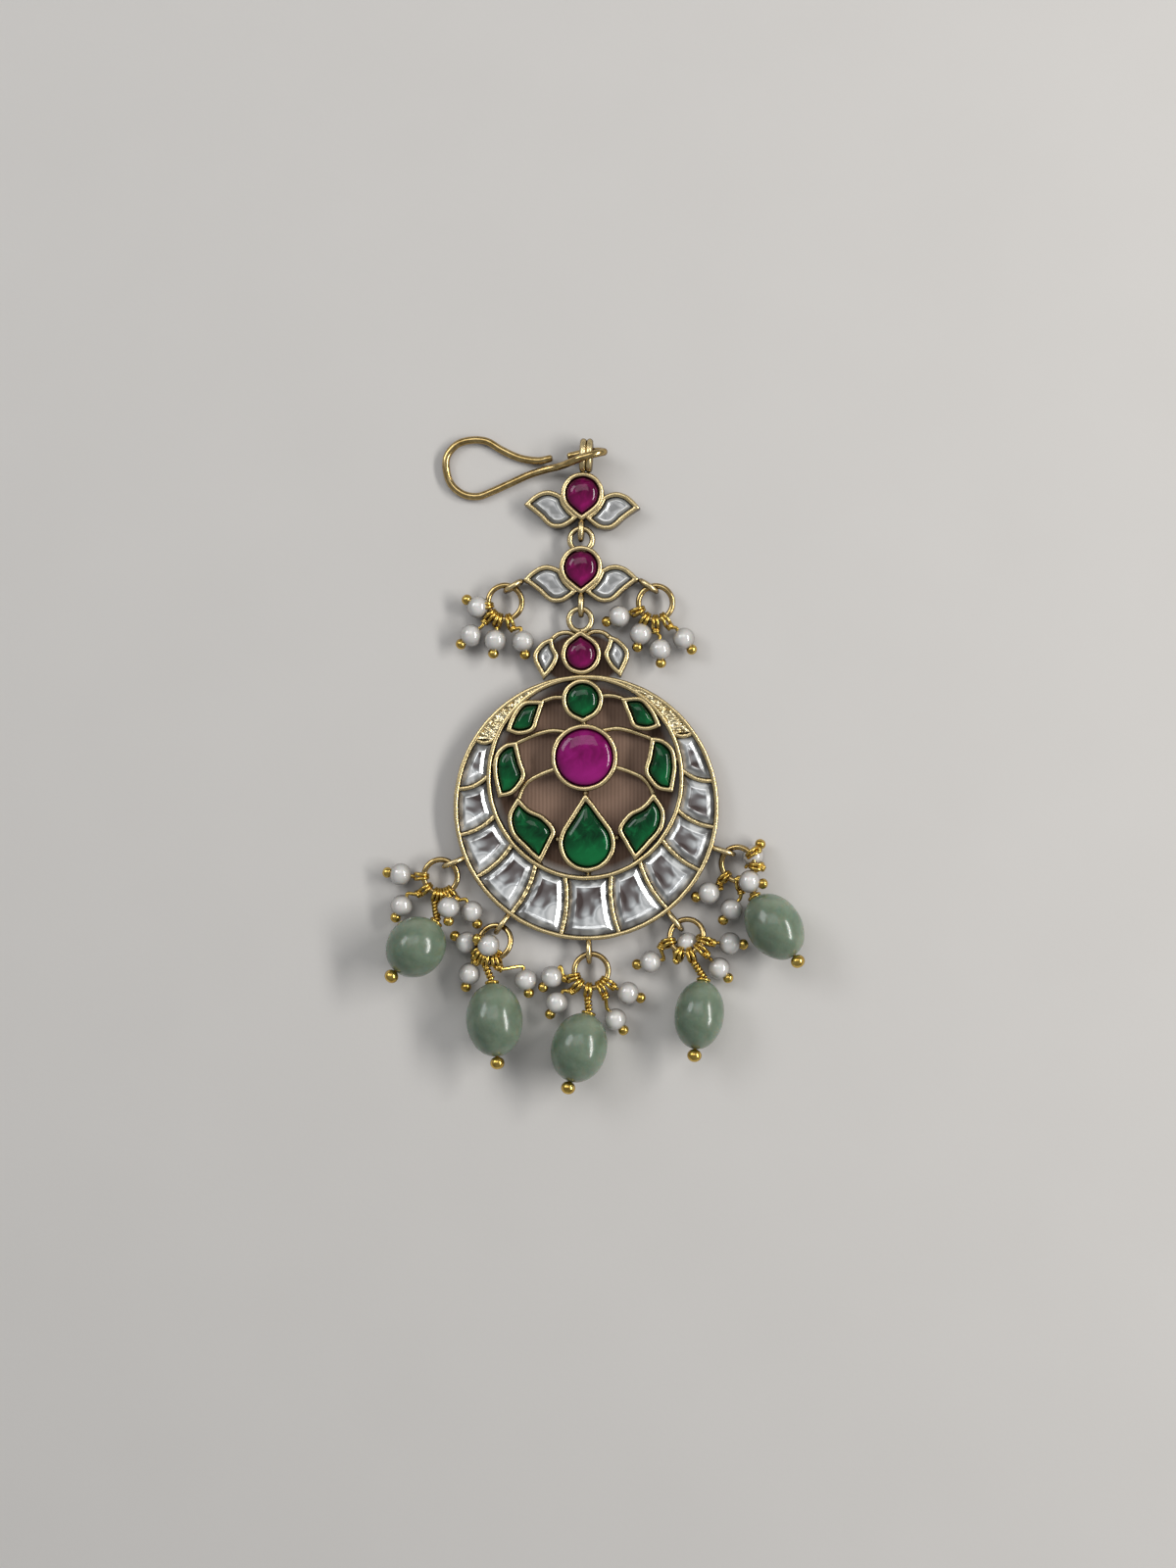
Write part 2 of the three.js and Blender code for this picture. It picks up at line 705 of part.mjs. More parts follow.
function crescentCells() {
  const lines = [
    ...[...DIVIDER_ANGLES].reverse().map((angles) => ({ angles, side: -1 })),
    ...DIVIDER_ANGLES.map((angles) => ({ angles, side: 1 })),
  ];
  return lines.slice(0, -1).map((line, index) => {
    const outline = cellOutline(line, lines[index + 1]);
    const pocket = simplified(inset(outline, CELL_DIVIDER / 2));
    const name = `clear_crescent_${String(index + 1).padStart(2, '0')}`;
    const { material, levels } = STONE_KINDS.clear;
    return {
      pocket: slab(pocket, BEZEL_FLOOR, BEZEL_HEIGHT + CUT_BEYOND),
      stone: named(name, stone(shrunk(pocket, STONE_GAP), levels), material),
    };
  });
}

function crescentBody() {
  const disc = polygonRing(DISC_SEGMENTS, (angle) => polar(DISC_RADIUS, angle));
  const opening = polygonRing(OPENING_SEGMENTS, (angle) => openingPoint(angle, 0));
  const body = solidOf(slab(disc, 0, BEZEL_HEIGHT));
  return body.subtract(solidOf(slab(anticlockwise(opening), -CUT_BEYOND, BEZEL_HEIGHT + CUT_BEYOND)));
}

function polygonRing(count, pointAt) {
  return Array.from({ length: count }, (_, index) => pointAt(360 * index / count));
}

// Setting and stones of the pendant
function pendantSeats() {
  const seats = [
    seat(RUBY.name, roundOutline(0, RUBY.north, RUBY.radius), 'ruby'),
    seat(TOP_DROP.name, dropOutline(TOP_NORTH, TOP_DROP.radius, TOP_TIP), 'green'),
    seat(BOTTOM_DROP.name, dropOutline(BOTTOM_NORTH, BOTTOM_DROP.radius, BOTTOM_TIP), 'green'),
    seat(CROWN_DROP.name, dropOutline(CROWN_NORTH, CROWN_DROP.radius, CROWN_TIP), 'ruby'),
  ];
  LEAVES.forEach((leaf) => {
    const kind = leaf.cabochon ? 'green' : 'clear';
    seats.push(seat(`${leaf.name}_right`, leafOutline(leaf, false), kind));
    seats.push(seat(`${leaf.name}_left`, leafOutline(leaf, true), kind));
  });
  return seats;
}

function bothSides(points) {
  return [points, points.map(([east, ...rest]) => [-east, ...rest])];
}

const WIRE_STARTS = {
  ruby: { north: RUBY.north, radius: RUBY.radius },
  topDrop: { north: TOP_NORTH, radius: TOP_DROP.radius },
  crownDrop: { north: CROWN_NORTH, radius: CROWN_DROP.radius },
};

function wirePath({ from, heading, through }) {
  const { north, radius } = WIRE_STARTS[from];
  const start = polar(radius - SOLDER_OVERLAP, heading);
  return [[start.x, start.y + north], ...scaled(through, PENDANT_SCALE)];
}

function pendantWires() {
  const paths = WIRES.map(wirePath).flatMap(bothSides);
  return paths.map((path) => {
    const lifted = path.map(([east, north]) => [east, north, WIRE_HEIGHT]);
    return wire(lifted, WIRE_RADIUS, LINK_WIRE_SIDES, path.length);
  });
}

function solderSpots() {
  const sides = scaled(SIDE_SPOTS, PENDANT_SCALE).flatMap(([east, north]) => [[east, north], [-east, north]]);
  const spots = [...MIDDLE_SPOTS.map((north) => [0, north]), ...sides];
  return spots.map(([east, north]) => solderSpot(east, north));
}

function earPlace(angle) {
  return polar(DISC_RADIUS + (EAR_RADIUS * EAR_STRETCH + EAR_WIRE) - SOLDER_OVERLAP, angle);
}

function pendantEars() {
  return Object.values(EAR_ANGLES).map((angle) => {
    const place = earPlace(angle);
    return standingLoop(place.x, place.y, LINK_HEIGHT, EAR_RADIUS, EAR_WIRE, EAR_STRETCH, angle);
  });
}

function buildPendant() {
  const seats = pendantSeats();
  const cells = crescentCells();
  const metalwork = [
    ...seats.map((each) => each.bezel),
    ...pendantWires(),
    ...pendantEars(),
    ...solderSpots(),
    flatRing(0, CROWN_RING_NORTH, LINK_HEIGHT, FLAT_RING_RADIUS, FLAT_RING_WIRE),
  ];
  const pockets = [...seats, ...cells].map((each) => solidOf(each.pocket));
  const body = crescentBody().add(joined(metalwork));
  const setting = pockets.reduce((whole, pocket) => whole.subtract(pocket), body);
  const group = new THREE.Group();
  group.name = 'pendant_group';
  group.rotation.z = radians(PENDANT_TURN);
  group.add(named('pendant_setting', geometryOf(setting), MATERIALS.antiqueGold));
  group.add(...[...seats, ...cells].map((each) => each.stone));
  return group;
}

// Setting and stones of a lotus link
function petalOutline(mirror) {
  const sides = [
    LOTUS_UPPER_SIDE,
    [LOTUS_UPPER_SIDE[LOTUS_UPPER_SIDE.length - 1], ...LOTUS_INNER_SIDE, LOTUS_LOWER_SIDE[0]],
    [...LOTUS_LOWER_SIDE, LOTUS_UPPER_SIDE[0]],
  ].map((side) => scaled(side, LOTUS_SCALE));
  return outlineOfSides(mirror ? sides.map(mirrored).reverse() : sides);
}

// From the lotus point down to the centre of the loop soldered on it
function loopReach(place) {
  return LOOP_RADIUS * place.loopStretch + LOOP_WIRE - SOLDER_OVERLAP;
}

// Where a lotus lies when its loop hangs through the flat ring below
function northAbove(ringNorth, place) {
  return ringNorth + FLAT_RING_RADIUS - place.slack + loopReach(place) - LOTUS_DROP_TIP;
}

function buildLotus(name, place, fittings) {
  const seats = [
    seat(`${name}_ruby`, dropOutline(0, LOTUS_DROP_RADIUS, LOTUS_DROP_TIP), 'ruby'),
    seat(`${name}_petal_left`, petalOutline(true), 'clear'),
    seat(`${name}_petal_right`, petalOutline(false), 'clear'),
  ];
  const loopNorth = LOTUS_DROP_TIP - loopReach(place);
  const metalwork = [
    ...seats.map((each) => each.bezel),
    standingLoop(0, loopNorth, LINK_HEIGHT, LOOP_RADIUS, LOOP_WIRE, place.loopStretch, 90),
    solderSpot(0, LOTUS_DROP_TIP + SOLDER_OVERLAP / 2),
    ...fittings,
  ];
  const pockets = seats.map((each) => solidOf(each.pocket));
  const setting = pockets.reduce((whole, pocket) => whole.subtract(pocket), joined(metalwork));
  const group = new THREE.Group();
  group.name = `${name}_group`;
  group.position.set(place.east, place.north, 0);
  group.rotation.z = radians(place.turn);
  group.add(named(`${name}_setting`, geometryOf(setting), MATERIALS.antiqueGold));
  group.add(...seats.map((each) => each.stone));
  return group;
}

function bailLoops() {
  return [-1, 1].map((side) => {
    const east = side * (BAIL_WIRE - BAIL_OVERLAP) + BAIL_EAST;
    const height = BAIL_RADIUS + BAIL_WIRE + TABLE_LIFT;
    return standingLoop(east, BAIL_NORTH, height, BAIL_RADIUS, BAIL_WIRE, BAIL_STRETCH, 90);
  });
}

// Where the ring wire of a lotus ear passes, and the ear itself
function lotusEar(side, heading) {
  const [tipEast, tipNorth] = LOTUS_UPPER_SIDE[0];
  const tip = new THREE.Vector2(side * tipEast, tipNorth).multiplyScalar(LOTUS_SCALE);
  const centre = tip.clone().add(polar(LOTUS_EAR_REACH, heading));
  return {
    loop: standingLoop(centre.x, centre.y, LINK_HEIGHT, EAR_RADIUS, EAR_WIRE, LOTUS_EAR_STRETCH, heading),
    spot: solderSpot(tip.x - side * SOLDER_RADIUS, tip.y),
    pass: centre.clone().add(polar(EAR_PASS / 2, heading)),
  };
}

// Drops: the ring stands in its own frame, x along the swing, origin where it passes the ear
function ringFrame(pass, cluster) {
  const turn = new THREE.Euler(radians(cluster.lean), -radians(cluster.tilt), radians(cluster.swing), 'ZYX');
  return new THREE.Matrix4()
    .makeRotationFromEuler(turn)
    .setPosition(pass.x, pass.y, LINK_HEIGHT);
}

function pinLoop(frame, turn) {
  const reach = RING_RADIUS + PIN_LOOP_OFFSET;
  const loop = new THREE.TorusGeometry(PIN_LOOP_RADIUS, PIN_WIRE, PIN_LOOP_WIRE_SIDES, PIN_LOOP_SIDES);
  loop.rotateX(Math.PI / 2);
  loop.rotateZ(radians(turn));
  const place = polar(reach, turn);
  loop.translate(RING_RADIUS + place.x, place.y, 0);
  const end = polar(reach + PIN_LOOP_RADIUS, turn);
  return {
    loop: loop.applyMatrix4(frame),
    end: new THREE.Vector3(RING_RADIUS + end.x, end.y, 0).applyMatrix4(frame),
  };
}

function pearlDrop(frame, pass, [turn, east, north, height, heading]) {
  const { loop, end } = pinLoop(frame, turn);
  const pearl = new THREE.Vector3(east, north, height).multiplyScalar(DROP_SCALE);
  pearl.add(new THREE.Vector3(pass.x, pass.y, 0));
  const reach = polar(PIN_HEAD_REACH, heading);
  const head = new THREE.Vector3(pearl.x + reach.x, pearl.y + reach.y, pearl.z);
  return [
    loop,
    rod(end, pearl, PIN_WIRE, PIN_SIDES),
    ball(pearl, PEARL_RADIUS, PEARL_AROUND, PEARL_DOWN),
    ball(head, PIN_HEAD_RADIUS, PIN_HEAD_AROUND, PIN_HEAD_DOWN),
  ];
}

function beadSize([, , , , halfLength, radius]) {
  return { halfLength: halfLength * DROP_SCALE, radius: radius * DROP_SCALE };
}

function beadPlace(pass, bead) {
  const [, east, north, heading] = bead;
  const { halfLength, radius } = beadSize(bead);
  const tilt = radians(BEAD_TILT);
  const belly = Math.hypot(radius * Math.cos(tilt), halfLength * Math.sin(tilt)) + TABLE_LIFT;
  const flat = polar(Math.cos(tilt), heading);
  return {
    centre: new THREE.Vector3(pass.x + east * DROP_SCALE, pass.y + north * DROP_SCALE, belly),
    axis: new THREE.Vector3(flat.x, flat.y, Math.sin(tilt)),
  };
}

function buildBead(name, pass, bead) {
  const { halfLength, radius } = beadSize(bead);
  const { centre, axis } = beadPlace(pass, bead);
  const body = new THREE.SphereGeometry(1, BEAD_AROUND, BEAD_DOWN).scale(radius, halfLength, radius);
  const bore = new THREE.CylinderGeometry(BEAD_BORE, BEAD_BORE, 3 * halfLength, BEAD_BORE_SIDES);
  const drilled = solidOf(body).subtract(solidOf(bore));
  const mesh = named(name, geometryOf(drilled), MATERIALS.aventurine);
  mesh.quaternion.setFromUnitVectors(new THREE.Vector3(0, 1, 0), axis);
  mesh.position.copy(centre);
  return mesh;
}

function beadPin(frame, pass, bead) {
  const { halfLength } = beadSize(bead);
  const { loop, end } = pinLoop(frame, bead[0]);
  const { centre, axis } = beadPlace(pass, bead);
  const entry = centre.clone().addScaledVector(axis, -halfLength - BEAD_WRAP_RADIUS);
  const head = centre.clone().addScaledVector(axis, halfLength + BEAD_HEAD_REACH);
  return [
    loop,
    rod(end, entry, BEAD_WRAP_RADIUS, BEAD_WRAP_SIDES),
    rod(entry, head, PIN_WIRE, PIN_SIDES),
    ball(head, BEAD_HEAD_RADIUS, BEAD_HEAD_AROUND, BEAD_HEAD_DOWN),
  ];
}

function buildCluster(cluster, pass) {
  const frame = ringFrame(pass, cluster);
  const ring = new THREE.TorusGeometry(RING_RADIUS, RING_WIRE, LINK_WIRE_SIDES, FLAT_RING_SIDES);
  ring.translate(RING_RADIUS, 0, 0).applyMatrix4(frame);
  const parts = [ring, ...cluster.pearls.flatMap((pearl) => pearlDrop(frame, pass, pearl))];
  const group = new THREE.Group();
  group.name = `drops_group_${cluster.name}`;
  if (cluster.bead) {
    parts.push(...beadPin(frame, pass, cluster.bead));
    group.add(buildBead(`bead_${cluster.name}`, pass, cluster.bead));
  }
  group.add(named(`drops_${cluster.name}`, geometryOf(joined(parts)), MATERIALS.wireGold));
  return group;
}

function passPlaces(ears) {
  const places = {};
  Object.entries(EAR_ANGLES).forEach(([name, angle]) => {
    const radius = earPlace(angle).length() + EAR_PASS;
    places[name] = polar(radius, angle + PENDANT_TURN);
  });
  Object.entries(ears).forEach(([name, ear]) => {
    const place = ear.pass;
    places[`lotus_${name}`] = new THREE.Vector2(place.x + LOTUS_MIDDLE.east, place.y + LOTUS_MIDDLE.north);
  });
  return places;
}

function buildHook() {
  const east = LOTUS_TOP.east + BAIL_EAST;
  const north = LOTUS_TOP.north + BAIL_NORTH;
  const path = scaled(HOOK_PATH, HOOK_SCALE).map(([x, y, z]) => [x + east, y + north, z]);
  const body = solidOf(wire(path, HOOK_WIRE, HOOK_SIDES, HOOK_STEPS));
  return named('hook', geometryOf(body), MATERIALS.wireGold);
}

// Assembly, moved so that its box stands centred on the origin
const ears = { left: lotusEar(-1, LOTUS_EAR_LEFT), right: lotusEar(1, LOTUS_EAR_RIGHT) };
const middleFittings = [
  flatRing(0, LOTUS_RING_NORTH, LINK_HEIGHT, FLAT_RING_RADIUS, FLAT_RING_WIRE),
  ...Object.values(ears).flatMap((ear) => [ear.loop, ear.spot]),
];

const tikka = new THREE.Group();
tikka.name = 'maang_tikka';
tikka.add(buildHook());
tikka.add(buildLotus('lotus_top', LOTUS_TOP, bailLoops()));
tikka.add(buildLotus('lotus_middle', LOTUS_MIDDLE, middleFittings));
tikka.add(buildPendant());
const places = passPlaces(ears);
CLUSTERS.forEach((cluster) => tikka.add(buildCluster(cluster, places[cluster.name])));

tikka.updateMatrixWorld(true);
const box = new THREE.Box3().setFromObject(tikka, true);
const middle = box.getCenter(new THREE.Vector3());
const assembly = new THREE.Group();
assembly.name = 'assembly';
tikka.position.set(-middle.x, -middle.y, -box.min.z);
assembly.add(tikka);

export default assembly;
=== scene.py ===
import math

import bpy
import numpy as np
from mathutils import Matrix, Vector, noise


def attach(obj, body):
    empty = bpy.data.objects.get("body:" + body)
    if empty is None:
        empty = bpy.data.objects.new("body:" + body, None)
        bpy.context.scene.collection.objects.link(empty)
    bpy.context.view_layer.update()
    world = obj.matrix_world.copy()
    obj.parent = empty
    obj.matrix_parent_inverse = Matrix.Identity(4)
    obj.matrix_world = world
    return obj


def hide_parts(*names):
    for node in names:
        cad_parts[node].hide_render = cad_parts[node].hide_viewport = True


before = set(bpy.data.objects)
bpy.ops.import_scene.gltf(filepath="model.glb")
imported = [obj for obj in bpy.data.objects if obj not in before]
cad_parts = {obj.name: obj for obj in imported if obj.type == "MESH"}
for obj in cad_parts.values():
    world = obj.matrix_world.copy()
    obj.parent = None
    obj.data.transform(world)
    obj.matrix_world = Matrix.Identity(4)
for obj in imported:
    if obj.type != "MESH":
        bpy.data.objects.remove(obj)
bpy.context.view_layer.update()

# All shapes are worked out in millimetres and written to the meshes in metres
MM = 0.001

# Centre of the pendant disc in the row frame
DISC_PLACE = (-0.732, -5.939)

# Settings
BEZEL_WALL = 0.62
BEZEL_HEIGHT = 2.3
BEZEL_FLOOR = 0.5
PANEL_HEIGHT = BEZEL_HEIGHT * 0.92
STONE_GAP = 0.06
SOLDER_OVERLAP = 0.3
WALL_DROP = 0.26
WOBBLE = 0.035
WOBBLE_SCALE = 0.9
WOBBLE_SHIFTS = [Vector((9.3, 1.5, 7.9)), Vector((0, 0, 0)), Vector((6.3, 0.2, 2.7))]
SHARP_ANGLE = 50
DROP_STEPS = 96
PETAL_STEPS = 40

# Pendant disc, crescent and opening
DISC_RADIUS = 17.6
RIM_WALL = 0.6
OPENING_NORTH = 3.97
OPENING_HALF_WIDTH = 12.5
OPENING_HALF_LENGTH = 13.0
CELL_DIVIDER = 0.6
DIVIDER_BULGE = 0.45
PENDANT_TURN = 1.8
DIVIDER_ANGLES = [
    (13.0, 13.1), (37.0, 31.2), (59.4, 49.3),
    (79.6, 68.9), (100.2, 92.4), (123.4, 115.3),
]

# Round and drop bezels of the pendant: name, kind, north, radius, north of the point
ROUND_BEZELS = [
    ("ruby_round", "ruby", 6.63, 4.45, None),
    ("green_drop_top", "green", 14.28, 2.78, 11.2),
    ("green_drop_bottom", "green", -4.76, 3.8, 1.94),
    ("ruby_crown", "ruby", 20.31, 2.67, 23.56),
]

# Leaves on the right half: name, kind, outer side, inner side
LEAVES = [
    (
        "green_leaf_upper", "green",
        [(5.0, 14.4), (7.9, 14.3), (9.4, 12.6), (10.35, 10.45)],
        [(10.35, 10.45), (8.6, 9.9), (6.6, 10.4), (5.8, 12.2), (5.0, 14.4)],
    ),
    (
        "green_leaf_middle", "green",
        [(8.87, 9.1), (10.5, 8.75), (11.85, 7.4), (12.2, 5.2), (11.6, 1.6)],
        [(11.6, 1.6), (9.5, 2.15), (7.9, 4.4), (8.4, 6.6), (8.87, 9.1)],
    ),
    (
        "green_leaf_lower", "green",
        [(9.0, 1.75), (10.4, -0.7), (10.1, -3.1), (8.2, -5.35), (6.25, -7.3)],
        [(6.25, -7.3), (4.95, -4.9), (4.15, -3.0), (5.6, -0.95), (7.6, 0.15), (9.0, 1.75)],
    ),
    (
        "clear_petal_crown", "clear",
        [(3.75, 22.75), (5.2, 22.1), (6.4, 20.3), (5.15, 17.1)],
        [(5.15, 17.1), (3.7, 18.6), (3.0, 20.2), (3.55, 21.6), (3.75, 22.75)],
    ),
]

# Thin wires and solder spots of the right half, mirrored to the left
WIRE_RADIUS = 0.32
WIRE_HEIGHT = 1.0
WIRE_PATHS = [
    [(2.43, 14.75), (3.9, 14.75), (5.4, 14.3)],
    [(2.26, 10.11), (4.4, 10.35), (6.6, 9.85), (9.1, 8.8)],
    [(3.92, 5.28), (6.0, 4.55), (7.7, 3.6), (8.6, 2.4), (9.0, 1.2)],
    [(0.25, 22.67), (1.6, 23.3), (2.9, 23.2), (4.0, 22.4)],
]
SOLDER_RADIUS = 0.45
SOLDER_SPOTS = [
    (0, 1.94), (0, 11.2), (0, -8.56), (0, -9.03),
    (0, 17.3), (12.25, 6.0), (3.95, -4.1), (6.4, -7.5),
]

# Links
LOOP_WIRE = 0.38
LOOP_RADIUS = 1.05
FLAT_RING_WIRE = 0.38
FLAT_RING_RADIUS = 1.5
CROWN_RING_NORTH = 24.91
EAR_WIRE = 0.36
EAR_RADIUS = 1.08
EAR_STRETCH = 1.3
EAR_PASS = 0.38
EAR_ANGLES = {
    "left": 200.7, "lower_left": 232.4, "bottom": 269.4, "lower_right": 306.4, "right": 340.7,
}
BAIL_WIRE = 0.45
BAIL_RADIUS = 1.2
BAIL_STRETCH = 1.53
BAIL_NORTH = 5.07
BAIL_EAST = 0.33
LINK_HEIGHT = 1.47

# Lotus links: side curves of the right petal, mirrored to the left
LOTUS_DROP_RADIUS = 2.86
LOTUS_DROP_TIP = -3.64
LOTUS_UPPER = [(7.7, -1.65), (6.8, -0.7), (5.75, 0.05), (4.65, 0.33), (3.65, 0.18), (2.6, -0.3)]
LOTUS_LOWER = [(0.4, -3.1), (1.3, -3.9), (2.5, -4.58), (3.85, -4.62), (4.8, -4.05), (5.65, -3.2)]
LOTUS_INNER = [(2.2, -1.3), (1.4, -2.3)]
LOTUS_EAR_HEADINGS = {"left": 212, "right": 325}
LOTUS_EAR_REACH = 1.52
LOTUS_EAR_STRETCH = 1.15
LOTUS_RING_NORTH = 3.67
LOTUS_PLACES = {
    "lotus_top": {"east": -0.46, "north": 41.608, "turn": -2, "stretch": 1.1},
    "lotus_middle": {"east": -0.65, "north": 31.863, "turn": 0, "stretch": 1.25},
}

# Hook wire, measured from the bail: east, north, height
HOOK_WIRE = 0.5
HOOK_PATH = [
    (-4.4, -0.2, 1.05), (-6.1, -0.5, 0.75), (-8.7, -0.13, 0.6), (-11.3, 1.04, 0.6),
    (-13.2, 2.15, 0.6), (-15.2, 2.33, 0.6), (-17.1, 1.8, 0.6), (-18.5, 0.2, 0.6),
    (-18.6, -1.6, 0.6), (-17.9, -3.6, 0.6), (-16.3, -4.9, 0.6), (-14.4, -5.2, 0.6),
    (-12.6, -4.6, 0.6), (-10.0, -3.45, 0.6), (-7.4, -2.34, 0.7), (-5.2, -1.75, 1.1),
    (-3.4, -1.45, 1.9), (-1.9, -1.1, 3.2), (-0.6, -0.7, 4.0), (0.7, -0.3, 4.05),
    (1.9, 0.05, 3.6), (2.55, 0.3, 2.85), (2.1, 0.5, 2.05), (1.1, 0.52, 1.72),
    (0, 0.4, 1.7), (-1.2, 0.12, 1.65), (-2.3, -0.1, 1.45),
]

# Jump rings and drops
RING_WIRE = 0.38
RING_RADIUS = 2.25
PIN_WIRE = 0.24
PIN_LOOP_RADIUS = 0.84
PIN_LOOP_SLIP = 6
PIN_LOOP_OFFSET = PIN_LOOP_RADIUS - PIN_WIRE - RING_WIRE + 0.1
PEARL_RADIUS = 1.5
PIN_HEAD_RADIUS = 0.72
PIN_HEAD_REACH = PEARL_RADIUS + PIN_HEAD_RADIUS * 0.4
BEAD_TILT = 12
BEAD_HEAD_RADIUS = 0.95
BEAD_WRAP_RADIUS = 0.46

# Drops of each ring, measured from where the ring passes its ear.
# ring: swing, tilt and lean
# pearls: turn on the ring, east, north, height, direction of the pin head
# bead: turn on the ring, east, north, direction of the pin head, half length, radius
CLUSTERS = {
    "lotus_left": {
        "ring": (244, 0, 0),
        "pearls": [
            (-52, -4.6, -2.67, 1.53, 146), (-20, -5.51, -6.44, 1.53, 220),
            (6, -2.26, -7.09, 1.9, 262), (40, 1.38, -7.22, 1.53, 280),
        ],
    },
    "lotus_right": {
        "ring": (290, 0, 0),
        "pearls": [
            (-85, -4.06, -3.89, 1.53, 202), (-52, -1.2, -6.23, 1.53, 256),
            (-20, 1.4, -8.31, 1.53, 273), (10, 4.52, -6.88, 1.53, 306),
        ],
    },
    "left": {
        "ring": (231, 0, 0),
        "pearls": [
            (-51, -6.77, -1.49, 1.53, 172), (-11, -6.64, -5.65, 1.53, 243),
            (49, -0.14, -5.78, 3.6, 270), (72, 2.72, -6.43, 1.53, 295),
        ],
        "bead": (26, -4.43, -10.98, 231, 4.3, 3.95),
    },
    "lower_left": {
        "ring": (250, 12, 20),
        "pearls": [
            (-67, -4.55, -2.21, 1.53, 151), (-37, -1.43, -2.47, 3.3, 150),
            (-22, -4.16, -6.37, 1.53, 255), (28, 3.38, -7.15, 1.53, 283),
        ],
        "bead": (0, -0.59, -12.22, 275, 5.0, 3.85),
    },
    "bottom": {
        "ring": (278, 8, 0),
        "pearls": [
            (-78, -4.96, -3.07, 1.53, 230), (-50, -4.31, -6.45, 1.53, 241),
            (47, 5.18, -5.15, 1.53, 339), (22, 3.49, -8.66, 1.53, 307),
        ],
        "bead": (-16, -1.19, -12.17, 255, 4.75, 3.8),
    },
    "lower_right": {
        "ring": (308, 18, 0),
        "pearls": [
            (-108, -3.51, -5.18, 1.53, 191), (-58, 1.43, -2.71, 1.53, 20),
            (37, 7.02, -2.71, 1.53, 356), (10, 5.59, -5.96, 1.53, 313),
        ],
        "bead": (-23, 2.99, -11.94, 263, 4.7, 3.35),
    },
    "right": {
        "ring": (314, 10, 16),
        "pearls": [
            (80, 3.58, -0.49, 1.53, 58), (40, 3.06, -3.87, 3.3, 351),
            (-90, -2.27, -5.43, 1.53, 198), (-38, 0.72, -7.64, 1.53, 232),
        ],
        "bead": (-5, 6.31, -9.72, 304, 4.8, 3.7),
    },
}

# Camera over the piece: picture centre and distance in millimetres, lean towards the right
CAMERA_TARGET = (-0.47, -2.82, 1.5)
CAMERA_DISTANCE = 300
CAMERA_LEAN = 3.0
CAMERA_LENS = 51.9


# Directions, points and angles
EAST, NORTH, UP = np.eye(3)


def polar(radius, degrees):
    angle = math.radians(degrees)
    return np.array([radius * math.cos(angle), radius * math.sin(angle)])


def turned(degrees, axis):
    return Matrix.Rotation(math.radians(degrees), 4, axis)


def unit(vector):
    return vector / np.linalg.norm(vector)


def square_to(axis, helper, other):
    """Two unit vectors square to an axis and to each other."""
    if abs(np.dot(axis, helper)) > 0.9:
        helper = other
    side = unit(np.cross(axis, helper))
    return side, np.cross(axis, side)


def mirrored(points):
    return [(-east, north) for east, north in reversed(points)]


